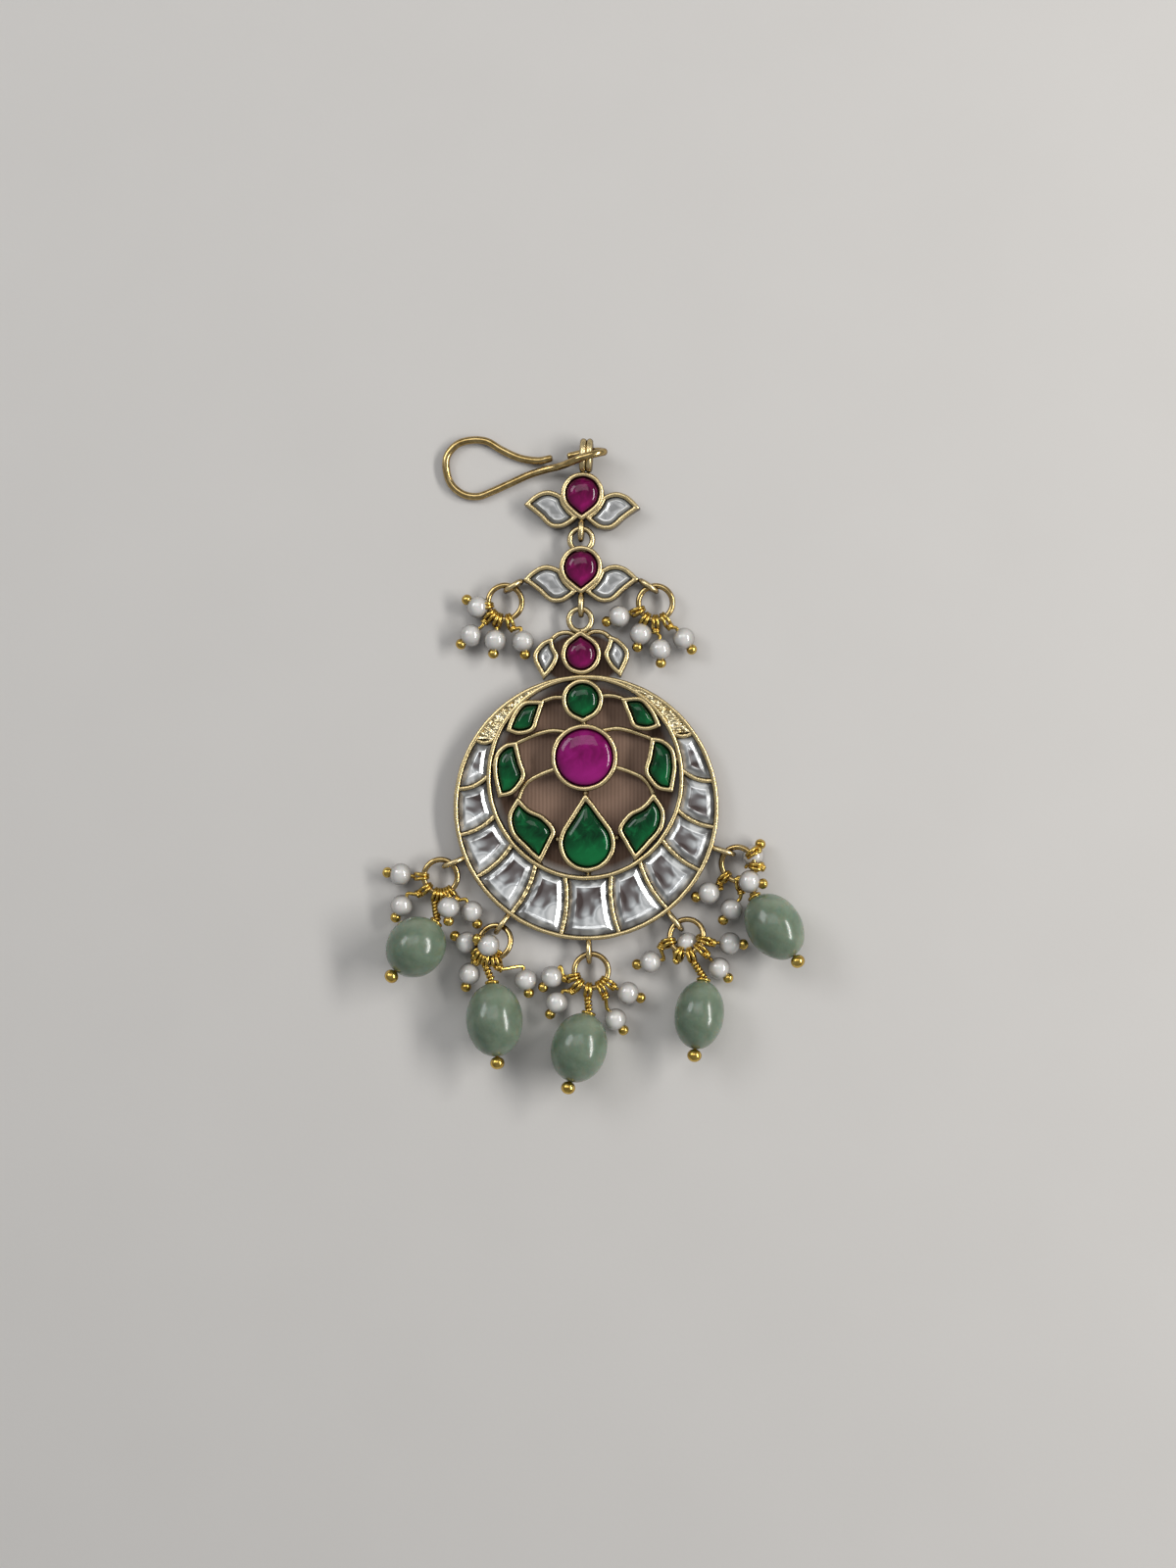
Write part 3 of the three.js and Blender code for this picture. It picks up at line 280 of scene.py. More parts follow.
# Meshes gathered from strips, tubes and balls
class Shape:
    def __init__(self):
        self.points = []
        self.faces = []
        self.shares = []

    def add(self, points, faces):
        start = len(self.points)
        self.points.extend([tuple(point) for point in points])
        self.faces.extend([tuple(start + index for index in face) for face in faces])

    def loops(self, loops, close_profile=False, capped=False):
        """Quads between closed loops that all have the same number of points."""
        count = len(loops[0])
        points = [point for loop in loops for point in loop]
        faces = []
        spans = len(loops) if close_profile else len(loops) - 1
        for span in range(spans):
            low = span * count
            high = ((span + 1) % len(loops)) * count
            for index in range(count):
                after = (index + 1) % count
                faces.append((low + index, low + after, high + after, high + index))
        if capped:
            middle = len(points)
            base = (len(loops) - 1) * count
            points.extend([np.mean(loops[0], axis=0), np.mean(loops[-1], axis=0)])
            faces.extend((middle, (index + 1) % count, index) for index in range(count))
            faces.extend((middle + 1, base + index, base + (index + 1) % count) for index in range(count))
        self.add(points, faces)

    def tube(self, path, radius, sides=14, closed=False):
        """Round wire along a path, carried round its bends without twisting."""
        path = np.asarray(path, dtype=float)
        radii = np.broadcast_to(radius, len(path))
        if closed:
            tangents = np.roll(path, -1, axis=0) - np.roll(path, 1, axis=0)
        else:
            tangents = np.gradient(path, axis=0)
        tangents = [unit(tangent) for tangent in tangents]
        normal, _ = square_to(tangents[0], UP, EAST)
        angles = np.arange(sides) * 2 * math.pi / sides
        rings = []
        for point, tangent, reach in zip(path, tangents, radii):
            normal = unit(normal - tangent * np.dot(normal, tangent))
            side = np.cross(tangent, normal)
            rings.append([point + reach * (math.cos(a) * normal + math.sin(a) * side) for a in angles])
        self.loops(rings, close_profile=closed, capped=not closed)

    def ball(self, centre, radii, axis=UP, around=28, down=16, bumps=0.0, seed=0.0):
        """Ball or egg, its second radius along the axis, with slight unevenness."""
        axis = unit(axis)
        side, front = square_to(axis, EAST, NORTH)
        loops = []
        for row in range(1, down):
            tilt = math.pi * row / down
            out = math.sin(tilt) * radii[0]
            up = -math.cos(tilt) * radii[1]
            loop = []
            for column in range(around):
                turn = 2 * math.pi * column / around
                way = out * (side * math.cos(turn) + front * math.sin(turn)) + up * axis
                grow = 1 + bumps * noise.noise(Vector(way * 0.45) + Vector((seed, seed, seed)))
                loop.append(centre + way * grow)
            loops.append(loop)
        self.loops(loops, capped=True)

    def hoop(self, matrix, radius, count, wire, sides=14, stretch=1.0):
        """Closed wire ring in the plane of a matrix."""
        turns = np.arange(count) * 2 * math.pi / count
        plan = zip(radius * np.cos(turns) * stretch, radius * np.sin(turns))
        self.tube([tuple(matrix @ Vector((x, y, 0))) for x, y in plan], wire, sides, closed=True)

    def sheet(self, points, across):
        """Quads between rows that each have across steps."""
        row = across + 1
        faces = []
        for start in range(0, len(points) - row, row):
            faces.extend((a, a + row, a + row + 1, a + 1) for a in range(start, start + across))
        self.add(points, faces)

    def wobble(self):
        """Small unevenness of hand-made metal."""
        moved = []
        for point in self.points:
            place = Vector(point) * WOBBLE_SCALE
            push = Vector([noise.noise(place + shift) for shift in WOBBLE_SHIFTS]) * WOBBLE
            moved.append((point[0] + push.x, point[1] + push.y, max(point[2] + push.z * 0.6, 0.0)))
        self.points = moved

    def place(self, matrix):
        """Moves the gathered points by a 4x4 matrix in millimetres."""
        self.points = [tuple(matrix @ Vector(point)) for point in self.points]


# Smooth curves through a few points
def spacing(first, second):
    return max(math.sqrt(np.linalg.norm(second - first)), 1e-6)


def smooth(points, count):
    points = [np.asarray(point, dtype=float) for point in points]
    padded = [2 * points[0] - points[1], *points, 2 * points[-1] - points[-2]]
    result = []
    segments = len(points) - 1
    for step in range(count + 1):
        place = min(step / count * segments, segments - 1e-9)
        index = int(place)
        t = place - index
        p0, p1, p2, p3 = padded[index : index + 4]
        d0, d1, d2 = (spacing(a, b) for a, b in ((p0, p1), (p1, p2), (p2, p3)))
        m1 = ((p1 - p0) / d0 - (p2 - p0) / (d0 + d1) + (p2 - p1) / d1) * d1
        m2 = ((p2 - p1) / d1 - (p3 - p1) / (d1 + d2) + (p3 - p2) / d2) * d1
        cubes = (2 * t**3 - 3 * t**2 + 1, t**3 - 2 * t**2 + t, -2 * t**3 + 3 * t**2, t**3 - t**2)
        result.append(cubes[0] * p1 + cubes[1] * m1 + cubes[2] * p2 + cubes[3] * m2)
    return np.array(result)


def resampled(line, count):
    steps = np.linalg.norm(np.diff(line, axis=0), axis=1)
    along = np.concatenate([[0], np.cumsum(steps)])
    places = np.linspace(0, along[-1], count + 1)
    return np.stack([np.interp(places, along, line[:, axis]) for axis in range(line.shape[1])], axis=1)


def left_of(line):
    """Unit vectors to the left of a plan line."""
    tangents = np.gradient(line, axis=0)
    tangents /= np.linalg.norm(tangents, axis=1, keepdims=True)
    return np.stack([-tangents[:, 1], tangents[:, 0]], axis=1)


# Outlines as sides that meet at corners, anticlockwise
def oriented(sides):
    loop = np.concatenate([side[:-1] for side in sides])
    after = np.roll(loop, -1, axis=0)
    area = np.sum(loop[:, 0] * after[:, 1] - after[:, 0] * loop[:, 1])
    return sides if area > 0 else [side[::-1] for side in reversed(sides)]


def distances_to_loop(points, loop):
    edges = np.roll(loop, -1, axis=0) - loop
    lengths = np.maximum(np.sum(edges**2, axis=1), 1e-12)
    offsets = points[:, None, :] - loop[None, :, :]
    along = np.clip(np.sum(offsets * edges[None], axis=2) / lengths[None], 0, 1)
    feet = loop[None] + along[:, :, None] * edges[None]
    return np.min(np.linalg.norm(points[:, None, :] - feet, axis=2), axis=1)


def inset_sides(sides, distance, count):
    """The outline moved inwards, as sides of count steps that still meet at the corners."""
    dense = [resampled(side, 90) for side in oriented(sides)]
    if distance > 0:
        loop = np.concatenate([side[:-1] for side in dense])
        moved = []
        for side in dense:
            shifted = side + distance * left_of(side)
            reaches = distances_to_loop(shifted, loop)
            keep = reaches > distance * 0.98 - 1e-4
            if keep.sum() < 2:
                keep = reaches >= np.sort(reaches)[-2]
            moved.append(shifted[keep])
        corners = [(moved[i - 1][-1] + moved[i][0]) / 2 for i in range(len(moved))]
        ends = zip(corners, moved, [*corners[1:], corners[0]])
        dense = [np.concatenate([[start], side, [end]]) for start, side, end in ends]
    return [resampled(side, count) for side in dense]


def loop_at(sides, distance, height, count):
    flat = np.concatenate([side[:-1] for side in inset_sides(sides, distance, count)])
    return np.concatenate([flat, np.full((len(flat), 1), height)], axis=1)


def scaled_loop(loop, scale, height):
    centre = np.mean(loop, axis=0)
    result = centre + (loop - centre) * scale
    result[:, 2] = height
    return result


def drop_sides(north, radius, tip):
    if tip is None:
        turns = np.linspace(0, 360, 121)
        return [np.array([polar(radius, turn) + (0, north) for turn in turns])]
    heading = 90 if tip > north else -90
    tangent = math.degrees(math.acos(radius / abs(tip - north)))
    turns = np.linspace(heading + tangent, heading + 360 - tangent, 121)
    arc = [polar(radius, turn) + (0, north) for turn in turns]
    return [np.array([(0, tip), *arc, (0, tip)])]


def leaf_sides(outer, inner, mirror):
    curves = [mirrored(inner), mirrored(outer)] if mirror else [outer, inner]
    return [smooth(curve, 60) for curve in curves]


def petal_sides(mirror):
    curves = [LOTUS_UPPER, [LOTUS_UPPER[-1], *LOTUS_INNER, LOTUS_LOWER[0]], [*LOTUS_LOWER, LOTUS_UPPER[0]]]
    if mirror:
        curves = [mirrored(curve) for curve in reversed(curves)]
    return [smooth(curve, 60) for curve in curves]


def opening_point(angle, growth):
    down = math.radians(angle)
    reach = 1 / math.hypot(
        math.sin(down) / (OPENING_HALF_WIDTH + growth),
        math.cos(down) / (OPENING_HALF_LENGTH + growth),
    )
    return np.array([reach * math.sin(down), OPENING_NORTH - reach * math.cos(down)])


def divider_line(angles, side, outer_growth, inner_growth):
    outer = polar(DISC_RADIUS - RIM_WALL + outer_growth, angles[0] - 90)
    inner = opening_point(angles[1], inner_growth)
    across = unit(inner - outer)
    bend = (inner + outer) / 2 + np.array([-across[1], across[0]]) * 2 * DIVIDER_BULGE
    steps = np.linspace(0, 1, 61)[:, None]
    line = (1 - steps) ** 2 * outer + 2 * steps * (1 - steps) * bend + steps**2 * inner
    return line * (side, 1)


def divider_lines():
    lefts = [(angles, -1) for angles in reversed(DIVIDER_ANGLES)]
    return lefts + [(angles, 1) for angles in DIVIDER_ANGLES]


def cell_sides(start, end):
    half = CELL_DIVIDER / 2
    first = divider_line(start[0], start[1], half, RIM_WALL - half)
    last = divider_line(end[0], end[1], half, RIM_WALL - half)
    turns = np.linspace(start[1] * start[0][1], end[1] * end[0][1], 40)
    inner = np.array([opening_point(turn, RIM_WALL - half) for turn in turns])
    turns = np.linspace(end[1] * end[0][0], start[1] * start[0][0], 40)
    outer = np.array([polar(DISC_RADIUS - RIM_WALL + half, turn - 90) for turn in turns])
    return [first, inner, last[::-1], outer]


# Materials
class Paint:
    """A node material with object coordinates in millimetres."""

    def __init__(self, name, **sockets):
        self.material = bpy.data.materials.new(name)
        self.material.use_nodes = True
        self.tree = self.material.node_tree
        self.shader = self.tree.nodes["Principled BSDF"]
        self.set(self.shader, **sockets)
        self.local = self.mapped(self.node("ShaderNodeTexCoord").outputs["Object"], (1000, 1000, 1000))

    def node(self, kind, **settings):
        node = self.tree.nodes.new(kind)
        for key, value in settings.items():
            setattr(node, key, value)
        return node

    @staticmethod
    def set(node, **sockets):
        for name, value in sockets.items():
            node.inputs[name.replace("_", " ")].default_value = value

    def link(self, source, target):
        self.tree.links.new(source, target)

    def mapped(self, vector, scale, location=(0, 0, 0)):
        node = self.node("ShaderNodeMapping")
        self.set(node, Location=location, Scale=scale)
        self.link(vector, node.inputs["Vector"])
        return node.outputs["Vector"]

    def noise(self, scale, detail=3.0, roughness=0.5, distortion=0.0, vector=None):
        node = self.node("ShaderNodeTexNoise")
        self.set(node, Scale=scale, Detail=detail, Roughness=roughness, Distortion=distortion)
        self.link(vector or self.local, node.inputs["Vector"])
        return node.outputs["Fac"]

    def ramp(self, factor, stops):
        node = self.node("ShaderNodeValToRGB")
        elements = node.color_ramp.elements
        while len(elements) < len(stops):
            elements.new(0.5)
        for element, (place, colour) in zip(elements, stops):
            element.position = place
            element.color = (*colour, 1)
        self.link(factor, node.inputs["Fac"])
        return node.outputs["Color"]

    def span(self, factor, low, high, start=0.0, end=1.0):
        node = self.node("ShaderNodeMapRange")
        self.set(node, From_Min=start, From_Max=end, To_Min=low, To_Max=high)
        self.link(factor, node.inputs["Value"])
        return node.outputs["Result"]

    def mix(self, factor, first, second, blend="MIX"):
        node = self.node("ShaderNodeMix", data_type="RGBA", blend_type=blend)
        self.put(factor, node.inputs["Factor"])
        self.put(first, node.inputs["A"])
        self.put(second, node.inputs["B"])
        return node.outputs["Result"]

    def put(self, value, socket):
        if isinstance(value, (int, float)):
            socket.default_value = value
        elif isinstance(value, tuple):
            socket.default_value = (*value, 1) if len(value) == 3 else value
        else:
            self.link(value, socket)

    def math(self, operation, first, second):
        node = self.node("ShaderNodeMath", operation=operation)
        self.put(first, node.inputs[0])
        self.put(second, node.inputs[1])
        return node.outputs["Value"]

    def axis(self, vector, letter):
        split = self.node("ShaderNodeSeparateXYZ")
        self.link(vector, split.inputs["Vector"])
        return split.outputs[letter]

    def height(self):
        """Height over the table in millimetres."""
        position = self.node("ShaderNodeNewGeometry").outputs["Position"]
        return self.math("MULTIPLY", self.axis(position, "Z"), 1000.0)

    def upward(self):
        """How far the surface faces up, 1 where it lies flat."""
        return self.axis(self.node("ShaderNodeNewGeometry").outputs["Normal"], "Z")

    def colour(self, source):
        self.link(source, self.shader.inputs["Base Color"])

    def rough(self, source):
        self.link(source, self.shader.inputs["Roughness"])

    def bump(self, height, strength, distance):
        node = self.node("ShaderNodeBump")
        self.set(node, Strength=strength, Distance=distance * MM)
        self.link(height, node.inputs["Height"])
        self.link(node.outputs["Normal"], self.shader.inputs["Normal"])


def antique_gold():
    """Pale worn gold on what faces up, with painted shade on the steep walls and brown patina with painted
    shade in the low recesses.
    """
    paint = Paint("antique_gold", Metallic=0.95, Roughness=0.34)
    patches = paint.noise(0.9, 4.0, 0.6)
    fine = paint.noise(6.0, 4.0, 0.65)
    bright = paint.mix(patches, (1.0, 0.82, 0.47), (0.74, 0.56, 0.26))
    # Brown towards the bottom: patina in the recesses, with painted shade there as well
    low = paint.span(paint.height(), 1.0, 0.0, 0.55, 1.0)
    # Painted shade on the walls: the steeper the face, the darker
    steep = paint.span(paint.upward(), 1.0, 0.0, 0.25, 0.8)
    # Patina and painted shade together, broken up by the fine noise
    tarnish_and_shade = paint.math("MAXIMUM", low, steep)
    tarnish_and_shade = paint.math("MULTIPLY", tarnish_and_shade, paint.span(fine, 0.7, 1.2))
    paint.colour(paint.mix(tarnish_and_shade, bright, (0.09, 0.055, 0.02)))
    paint.rough(paint.span(fine, 0.16, 0.38))
    paint.bump(paint.noise(4.6, 5.0, 0.7), 0.5, 0.06)
    return paint.material


# Golds with patches and painted shade where they are steep. Noises: scale, detail, roughness
GOLDS = {
    "hammered_gold": {
        "patches": (1.6, 3.0, 0.6),
        "stops": [(0.3, (0.62, 0.48, 0.24)), (0.5, (0.9, 0.76, 0.46)), (0.7, (1.0, 0.9, 0.62))],
        "steep": (0.8, 0.0, 0.3, 0.8),
        "dark": (0.2, 0.13, 0.05),
        "gloss": (1.6, 3.0, 0.6),
        "roughness": (0.34, 0.18),
        "grain": (4.5, 4.0, 0.7),
        "relief": (0.6, 0.08),
    },
    "wire_gold": {
        "patches": (1.3, 4.0, 0.6),
        "stops": [(0.3, (0.42, 0.28, 0.1)), (0.6, (0.68, 0.5, 0.22)), (0.8, (0.86, 0.68, 0.35))],
        "steep": (0.9, 0.0, 0.1, 0.75),
        "dark": (0.16, 0.09, 0.025),
        "gloss": (6.0,),
        "roughness": (0.12, 0.26),
        "grain": (9.0, 3.0, 0.6),
        "relief": (0.12, 0.03),
    },
    "pin_gold": {
        "patches": (1.7, 2.0, 0.5),
        "stops": [(0.3, (0.55, 0.34, 0.07)), (0.6, (0.8, 0.56, 0.14)), (0.85, (0.95, 0.74, 0.26))],
        "steep": (0.7, 0.0, 0.0, 0.6),
        "dark": (0.25, 0.14, 0.02),
        "gloss": (5.0,),
        "roughness": (0.15, 0.3),
        "grain": (6.0, 3.0, 0.6),
        "relief": (0.12, 0.03),
    },
}


def gold_paint(name):
    gold = GOLDS[name]
    paint = Paint(name, Metallic=1.0, Roughness=0.2)
    body = paint.ramp(paint.noise(*gold["patches"]), gold["stops"])
    # Painted shade: steep faces blend into the dark colour
    paint.colour(paint.mix(paint.span(paint.upward(), *gold["steep"]), body, gold["dark"]))
    paint.rough(paint.span(paint.noise(*gold["gloss"]), *gold["roughness"]))
    paint.bump(paint.noise(*gold["grain"]), *gold["relief"])
    return paint.material


def pearl_paint():
    paint = Paint("pearl", Roughness=0.16, Coat_Weight=1.0, Coat_Roughness=0.07, Specular_IOR_Level=0.9)
    paint.set(paint.shader, Subsurface_Weight=0.1, Subsurface_Scale=0.0004)
    body = paint.mix(paint.noise(0.7, 2.0, 0.5), (0.93, 0.915, 0.885), (0.62, 0.6, 0.57))
    # Painted shade: each pearl darkens towards its sides and underside
    under = paint.span(paint.upward(), 1.0, 0.0, 0.1, 0.97)
    paint.colour(paint.mix(under, body, (0.1, 0.08, 0.06)))
    paint.rough(paint.span(paint.noise(3.0), 0.1, 0.24))
    paint.bump(paint.noise(2.2, 3.0, 0.5), 0.14, 0.06)
    return paint.material


def cabochon_paint(name, deep, bright, glow, scale):
    """Glass over foil, cloudy inside, with a painted glow towards the lower end and painted shade at the
    foot of the dome.
    """
    paint = Paint(f"{name}_stone", Roughness=0.06, Specular_IOR_Level=0.38)
    cloud = paint.noise(scale, 5.0, 0.6, 0.8)
    body = paint.ramp(cloud, [(0.3, deep), (0.52, bright), (0.75, glow)])
    # Painted glow: brighter towards the lower end of each stone
    lower = paint.span(paint.axis(paint.local, "Y"), 0.75, 0.0, -2.4, 0.2)
    body = paint.mix(lower, body, glow)
    # Painted shade at the foot of the dome, where the surface turns away from facing up
    foot = paint.span(paint.upward(), 0.85, 0.0, 0.45, 0.93)
    paint.colour(paint.mix(foot, body, tuple(value * 0.3 for value in deep)))
    paint.rough(paint.span(paint.noise(2.0), 0.04, 0.11))
    paint.bump(paint.noise(0.7, 3.0, 0.5), 0.12, 0.12)
    return paint.material


def clear_paint(name, dark, dim, ring_highlights=0.0):
    """Clear cut stone over silver foil, coloured with painted reflections: its table dark at the inner end
    and bright at the outer, with streaks, a painted white highlight line at the table's edge and painted
    highlight rings on the petals.
    """
    paint = Paint(name, Metallic=0.3, Roughness=0.12, Coat_Weight=0.6, Coat_Roughness=0.03)
    # Painted reflections: streaks, swirls and a gradient darker at the inner end set the light and dark of
    # the table
    streaks = paint.noise(0.3, 0.6, 0.4, 0.6, paint.mapped(paint.local, (1.3, 0.7, 0.8)))
    swirls = paint.noise(0.42, 0.8, 0.4, 1.2)
    outward = paint.span(paint.axis(paint.local, "Y"), -0.15, 0.12, -1.8, 1.4)
    tone = paint.math("ADD", paint.math("ADD", streaks, outward), paint.span(swirls, -0.16, 0.16))
    stops = [
        (0.34, dark), (0.44, dim), (0.5, (0.55, 0.57, 0.58)), (0.545, (0.93, 0.95, 0.96)),
        (0.6, (0.62, 0.64, 0.65)), (0.68, (0.95, 0.96, 0.96)),
    ]
    shines = [(0.36, (0.26, 0.26, 0.26)), (0.5, (0.5, 0.52, 0.52)), (0.6, (0.85, 0.87, 0.87))]
    # Painted sheen on the sloping facets
    shine = paint.ramp(swirls, shines)
    share = paint.node("ShaderNodeAttribute", attribute_name="share").outputs["Fac"]
    table = paint.mix(paint.span(share, 1.0, 0.0, 0.5, 0.56), paint.ramp(tone, stops), shine)
    # Painted highlight rings that follow the facet rows, mixed in on the petals
    wavy = paint.math("ADD", share, paint.span(swirls, -0.22, 0.22))
    rings = [
        (0.5, (0.5, 0.52, 0.52)), (0.6, (0.96, 0.97, 0.97)), (0.68, (0.42, 0.43, 0.43)),
        (0.78, (0.66, 0.68, 0.68)), (0.86, (0.98, 0.98, 0.98)), (0.95, (0.36, 0.36, 0.36)),
    ]
    table = paint.mix(ring_highlights, table, paint.ramp(wavy, rings))
    # Painted highlight: a white line where the bevel meets the table, broken up by the swirls
    line = paint.ramp(share, [(0.42, (0, 0, 0)), (0.5, (1, 1, 1)), (0.6, (1, 1, 1)), (0.68, (0, 0, 0))])
    highlight_breaks = paint.ramp(swirls, [(0.4, (0.1, 0.1, 0.1)), (0.52, (1, 1, 1))])
    line = paint.math("MULTIPLY", line, highlight_breaks)
    paint.colour(paint.mix(line, table, (0.97, 0.98, 0.98)))
    paint.rough(paint.span(streaks, 0.2, 0.06))
    paint.bump(paint.noise(0.6, 1.0, 0.4, 0.6, paint.mapped(paint.local, (1.2, 0.6, 1.0))), 0.25, 0.2)
    return paint.material


def bead_paint():
    """Cloudy grey-green stone."""
    paint = Paint("bead_stone", Roughness=0.2, Coat_Weight=0.3, Coat_Roughness=0.1, Specular_IOR_Level=0.45)
    paint.set(paint.shader, Subsurface_Weight=0.6, Subsurface_Scale=0.002)
    grains = paint.noise(1.8, 5.0, 0.7)
    clouds = [(0.3, (0.13, 0.185, 0.125)), (0.5, (0.175, 0.235, 0.165)), (0.72, (0.25, 0.31, 0.225))]
    body = paint.ramp(paint.noise(0.26, 3.0, 0.5, 0.4), clouds)
    specks = paint.ramp(grains, [(0.38, (0.78, 0.82, 0.8)), (0.62, (1.0, 1.0, 1.0))])
    paint.colour(paint.mix(0.5, body, specks, "MULTIPLY"))
    paint.rough(paint.span(grains, 0.14, 0.3))
    paint.bump(paint.noise(0.45, 3.0, 0.5), 0.2, 0.3)
    return paint.material


# Brown shade on the floor under the openwork and under the crown: north, half width, half length
FLOOR_OVALS = [(OPENING_NORTH, OPENING_HALF_WIDTH, OPENING_HALF_LENGTH), (19.7, 5.2, 3.5)]


def floor_paint():
    """Pale cloth, with the brown shade that lies under the openwork of the pendant."""
    paint = Paint("pale_floor", Roughness=0.9)
    pale = paint.mix(paint.noise(0.05, 3.0, 0.5), (0.66, 0.64, 0.615), (0.69, 0.67, 0.645))
    shades = []
    for north, half_width, half_length in FLOOR_OVALS:
        middle = PENDANT_FRAME @ Vector((0, north, 0))
        scale = (1 / half_width, 1 / half_length, 0)
        location = (-middle.x / half_width, -middle.y / half_length, 0)
        length = paint.node("ShaderNodeVectorMath", operation="LENGTH")
        paint.link(paint.mapped(paint.local, scale, location), length.inputs[0])
        shades.append(paint.span(length.outputs["Value"], 1.0, 0.0, 0.92, 1.02))
    shade = paint.math("MAXIMUM", *shades)
    # Painted shadow: brown cloth with faint weave lines inside the ovals
    weave = paint.node("ShaderNodeTexWave", wave_type="BANDS", bands_direction="X")
    paint.set(weave, Scale=0.62, Distortion=0.4)
    paint.link(paint.local, weave.inputs["Vector"])
    cloth = paint.mix(weave.outputs["Fac"], (0.22, 0.138, 0.097), (0.285, 0.182, 0.131))
    paint.colour(paint.mix(shade, pale, cloth))
    paint.bump(paint.noise(1.4, 3.0, 0.6), 0.1, 0.1)
    return paint.material


# Cabochons: colours from deep to glowing, the glowing one also used for the painted glow at the lower end;
# scale of the clouds inside
CABOCHONS = {
    "ruby": ((0.05, 0.001, 0.02), (0.14, 0.002, 0.053), (0.34, 0.008, 0.15), 0.6),
    "ruby_round": ((0.13, 0.002, 0.06), (0.24, 0.004, 0.125), (0.36, 0.014, 0.21), 0.4),
    "green": ((0.0, 0.014, 0.005), (0.001, 0.058, 0.016), (0.006, 0.2, 0.055), 0.6),
}
MATERIALS = {
    "antique_gold": antique_gold(),
    **{name: gold_paint(name) for name in GOLDS},
    "pearl": pearl_paint(),
    **{name: cabochon_paint(name, *looks) for name, looks in CABOCHONS.items()},
    "clear": clear_paint("clear_cell_stone", (0.09, 0.065, 0.06), (0.24, 0.22, 0.22)),
    "clear_petal": clear_paint("clear_petal_stone", (0.3, 0.3, 0.29), (0.42, 0.43, 0.42), 0.75),
    "bead": bead_paint(),
}


# Pieces of the scene
def added(name, data):
    thing = bpy.data.objects.new(name, data)
    bpy.context.scene.collection.objects.link(thing)
    return thing


def piece(name, shape, material, nodes, place=None, sharp=None, flat=False):
    mesh = bpy.data.meshes.new(name)
    points = [(x * MM, y * MM, z * MM) for x, y, z in shape.points]
    mesh.from_pydata(points, [], shape.faces)
    if shape.shares:
        shares = mesh.attributes.new("share", "FLOAT", "POINT")
        shares.data.foreach_set("value", shape.shares)
    mesh.validate()
    mesh.update()
    thing = added(name, mesh)
    mesh.materials.append(MATERIALS[material])
    if not flat:
        mesh.shade_smooth()
        if sharp is not None:
            mesh.set_sharp_from_angle(angle=math.radians(sharp))
    if place is not None:
        thing.matrix_world = place
        bpy.context.view_layer.update()
    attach(thing, "root")
    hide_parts(*nodes)


def setting_piece(name, shape):
    nodes = [f"{name}_setting"]
    piece(f"{name}_setting_metal", shape, "antique_gold", nodes, sharp=SHARP_ANGLE)


def metres(matrix):
    result = matrix.copy()
    result.translation = matrix.translation * MM
    return result


PENDANT_FRAME = Matrix.Translation((*DISC_PLACE, 0)) @ turned(PENDANT_TURN, "Z")
HALF_ROUND = [(math.cos(math.pi * step / 8), math.sin(math.pi * step / 8)) for step in range(9)]


# Bezels: a rounded wall round each stone, closed below by its plate
def wall_profile(wall, height):
    half = wall / 2
    shoulder = height - 2 * WALL_DROP
    crown = [(half - half * across, shoulder + WALL_DROP * (1 + up)) for across, up in HALF_ROUND]
    return [(0, 0), (0, shoulder), *crown, (wall, shoulder), (wall, BEZEL_FLOOR)]


def add_bezel(shape, sides, height, count=44):
    profile = wall_profile(BEZEL_WALL, height)
    loops = [loop_at(sides, distance, level, count) for distance, level in profile]
    shape.loops(loops, capped=True)


def add_ring_wall(shape, outer_at, inner_at, height, count=220):
    """A rounded wall between two closed curves, open in the middle."""
    loops = []
    for share, level in [*wall_profile(1.0, height)[:-1], (1.0, 0)]:
        loop = []
        for index in range(count):
            turn = 360 * index / count
            point = outer_at(turn) * (1 - share) + inner_at(turn) * share
            loop.append((point[0], point[1], level))
        loops.append(loop)
    shape.loops(loops, close_profile=True)


def add_ridge(shape, line, half_width, low, high):
    """A half-round strip with notches along a line of plan points, from low to high."""
    rings = []
    for point, normal in zip(line, left_of(line)):
        notch = 0.5 + noise.noise(Vector((point[0] * 2.6, point[1] * 2.6, 1.0)))
        width = half_width * (0.92 + 0.12 * notch)
        top = high - 0.09 * notch
        ring = [(*(point - normal * width), low)]
        for across, up in HALF_ROUND:
            ring.append((*(point - normal * across * width), top - half_width * 0.8 * (1 - up)))
        rings.append([*ring, (*(point + normal * width), low)])
    shape.loops(rings, capped=True)


def add_wire(shape, path):
    line = smooth([(east, north, WIRE_HEIGHT) for east, north in path], 24)
    shape.tube(line, WIRE_RADIUS, 12)


def add_standing_loop(shape, east, north, radius, wire, stretch, heading, height=LINK_HEIGHT):
    upright = Matrix.Translation((east, north, height)) @ turned(heading, "Z") @ turned(90, "X")
    shape.hoop(upright, radius, 40, wire, stretch=stretch)


def add_flat_ring(shape, north):
    shape.hoop(Matrix.Translation((0, north, LINK_HEIGHT)), FLAT_RING_RADIUS, 44, FLAT_RING_WIRE)


def add_solder(shape, east, north):
    centre = np.array([east, north, BEZEL_HEIGHT * 0.38])
    shape.ball(centre, (SOLDER_RADIUS, BEZEL_HEIGHT * 0.36), around=14, down=8)


def add_plate(shape, outer_at, inner_at, level, across=8):
    points = []
    for turn in np.linspace(0, 360, 181):
        for step in range(across + 1):
            share = step / across
            point = outer_at(turn) * (1 - share) + inner_at(turn) * share
            points.append((point[0], point[1], level))
    shape.sheet(points, across)


# Stones
RISES = {"ruby": 0.95, "green": 0.85}


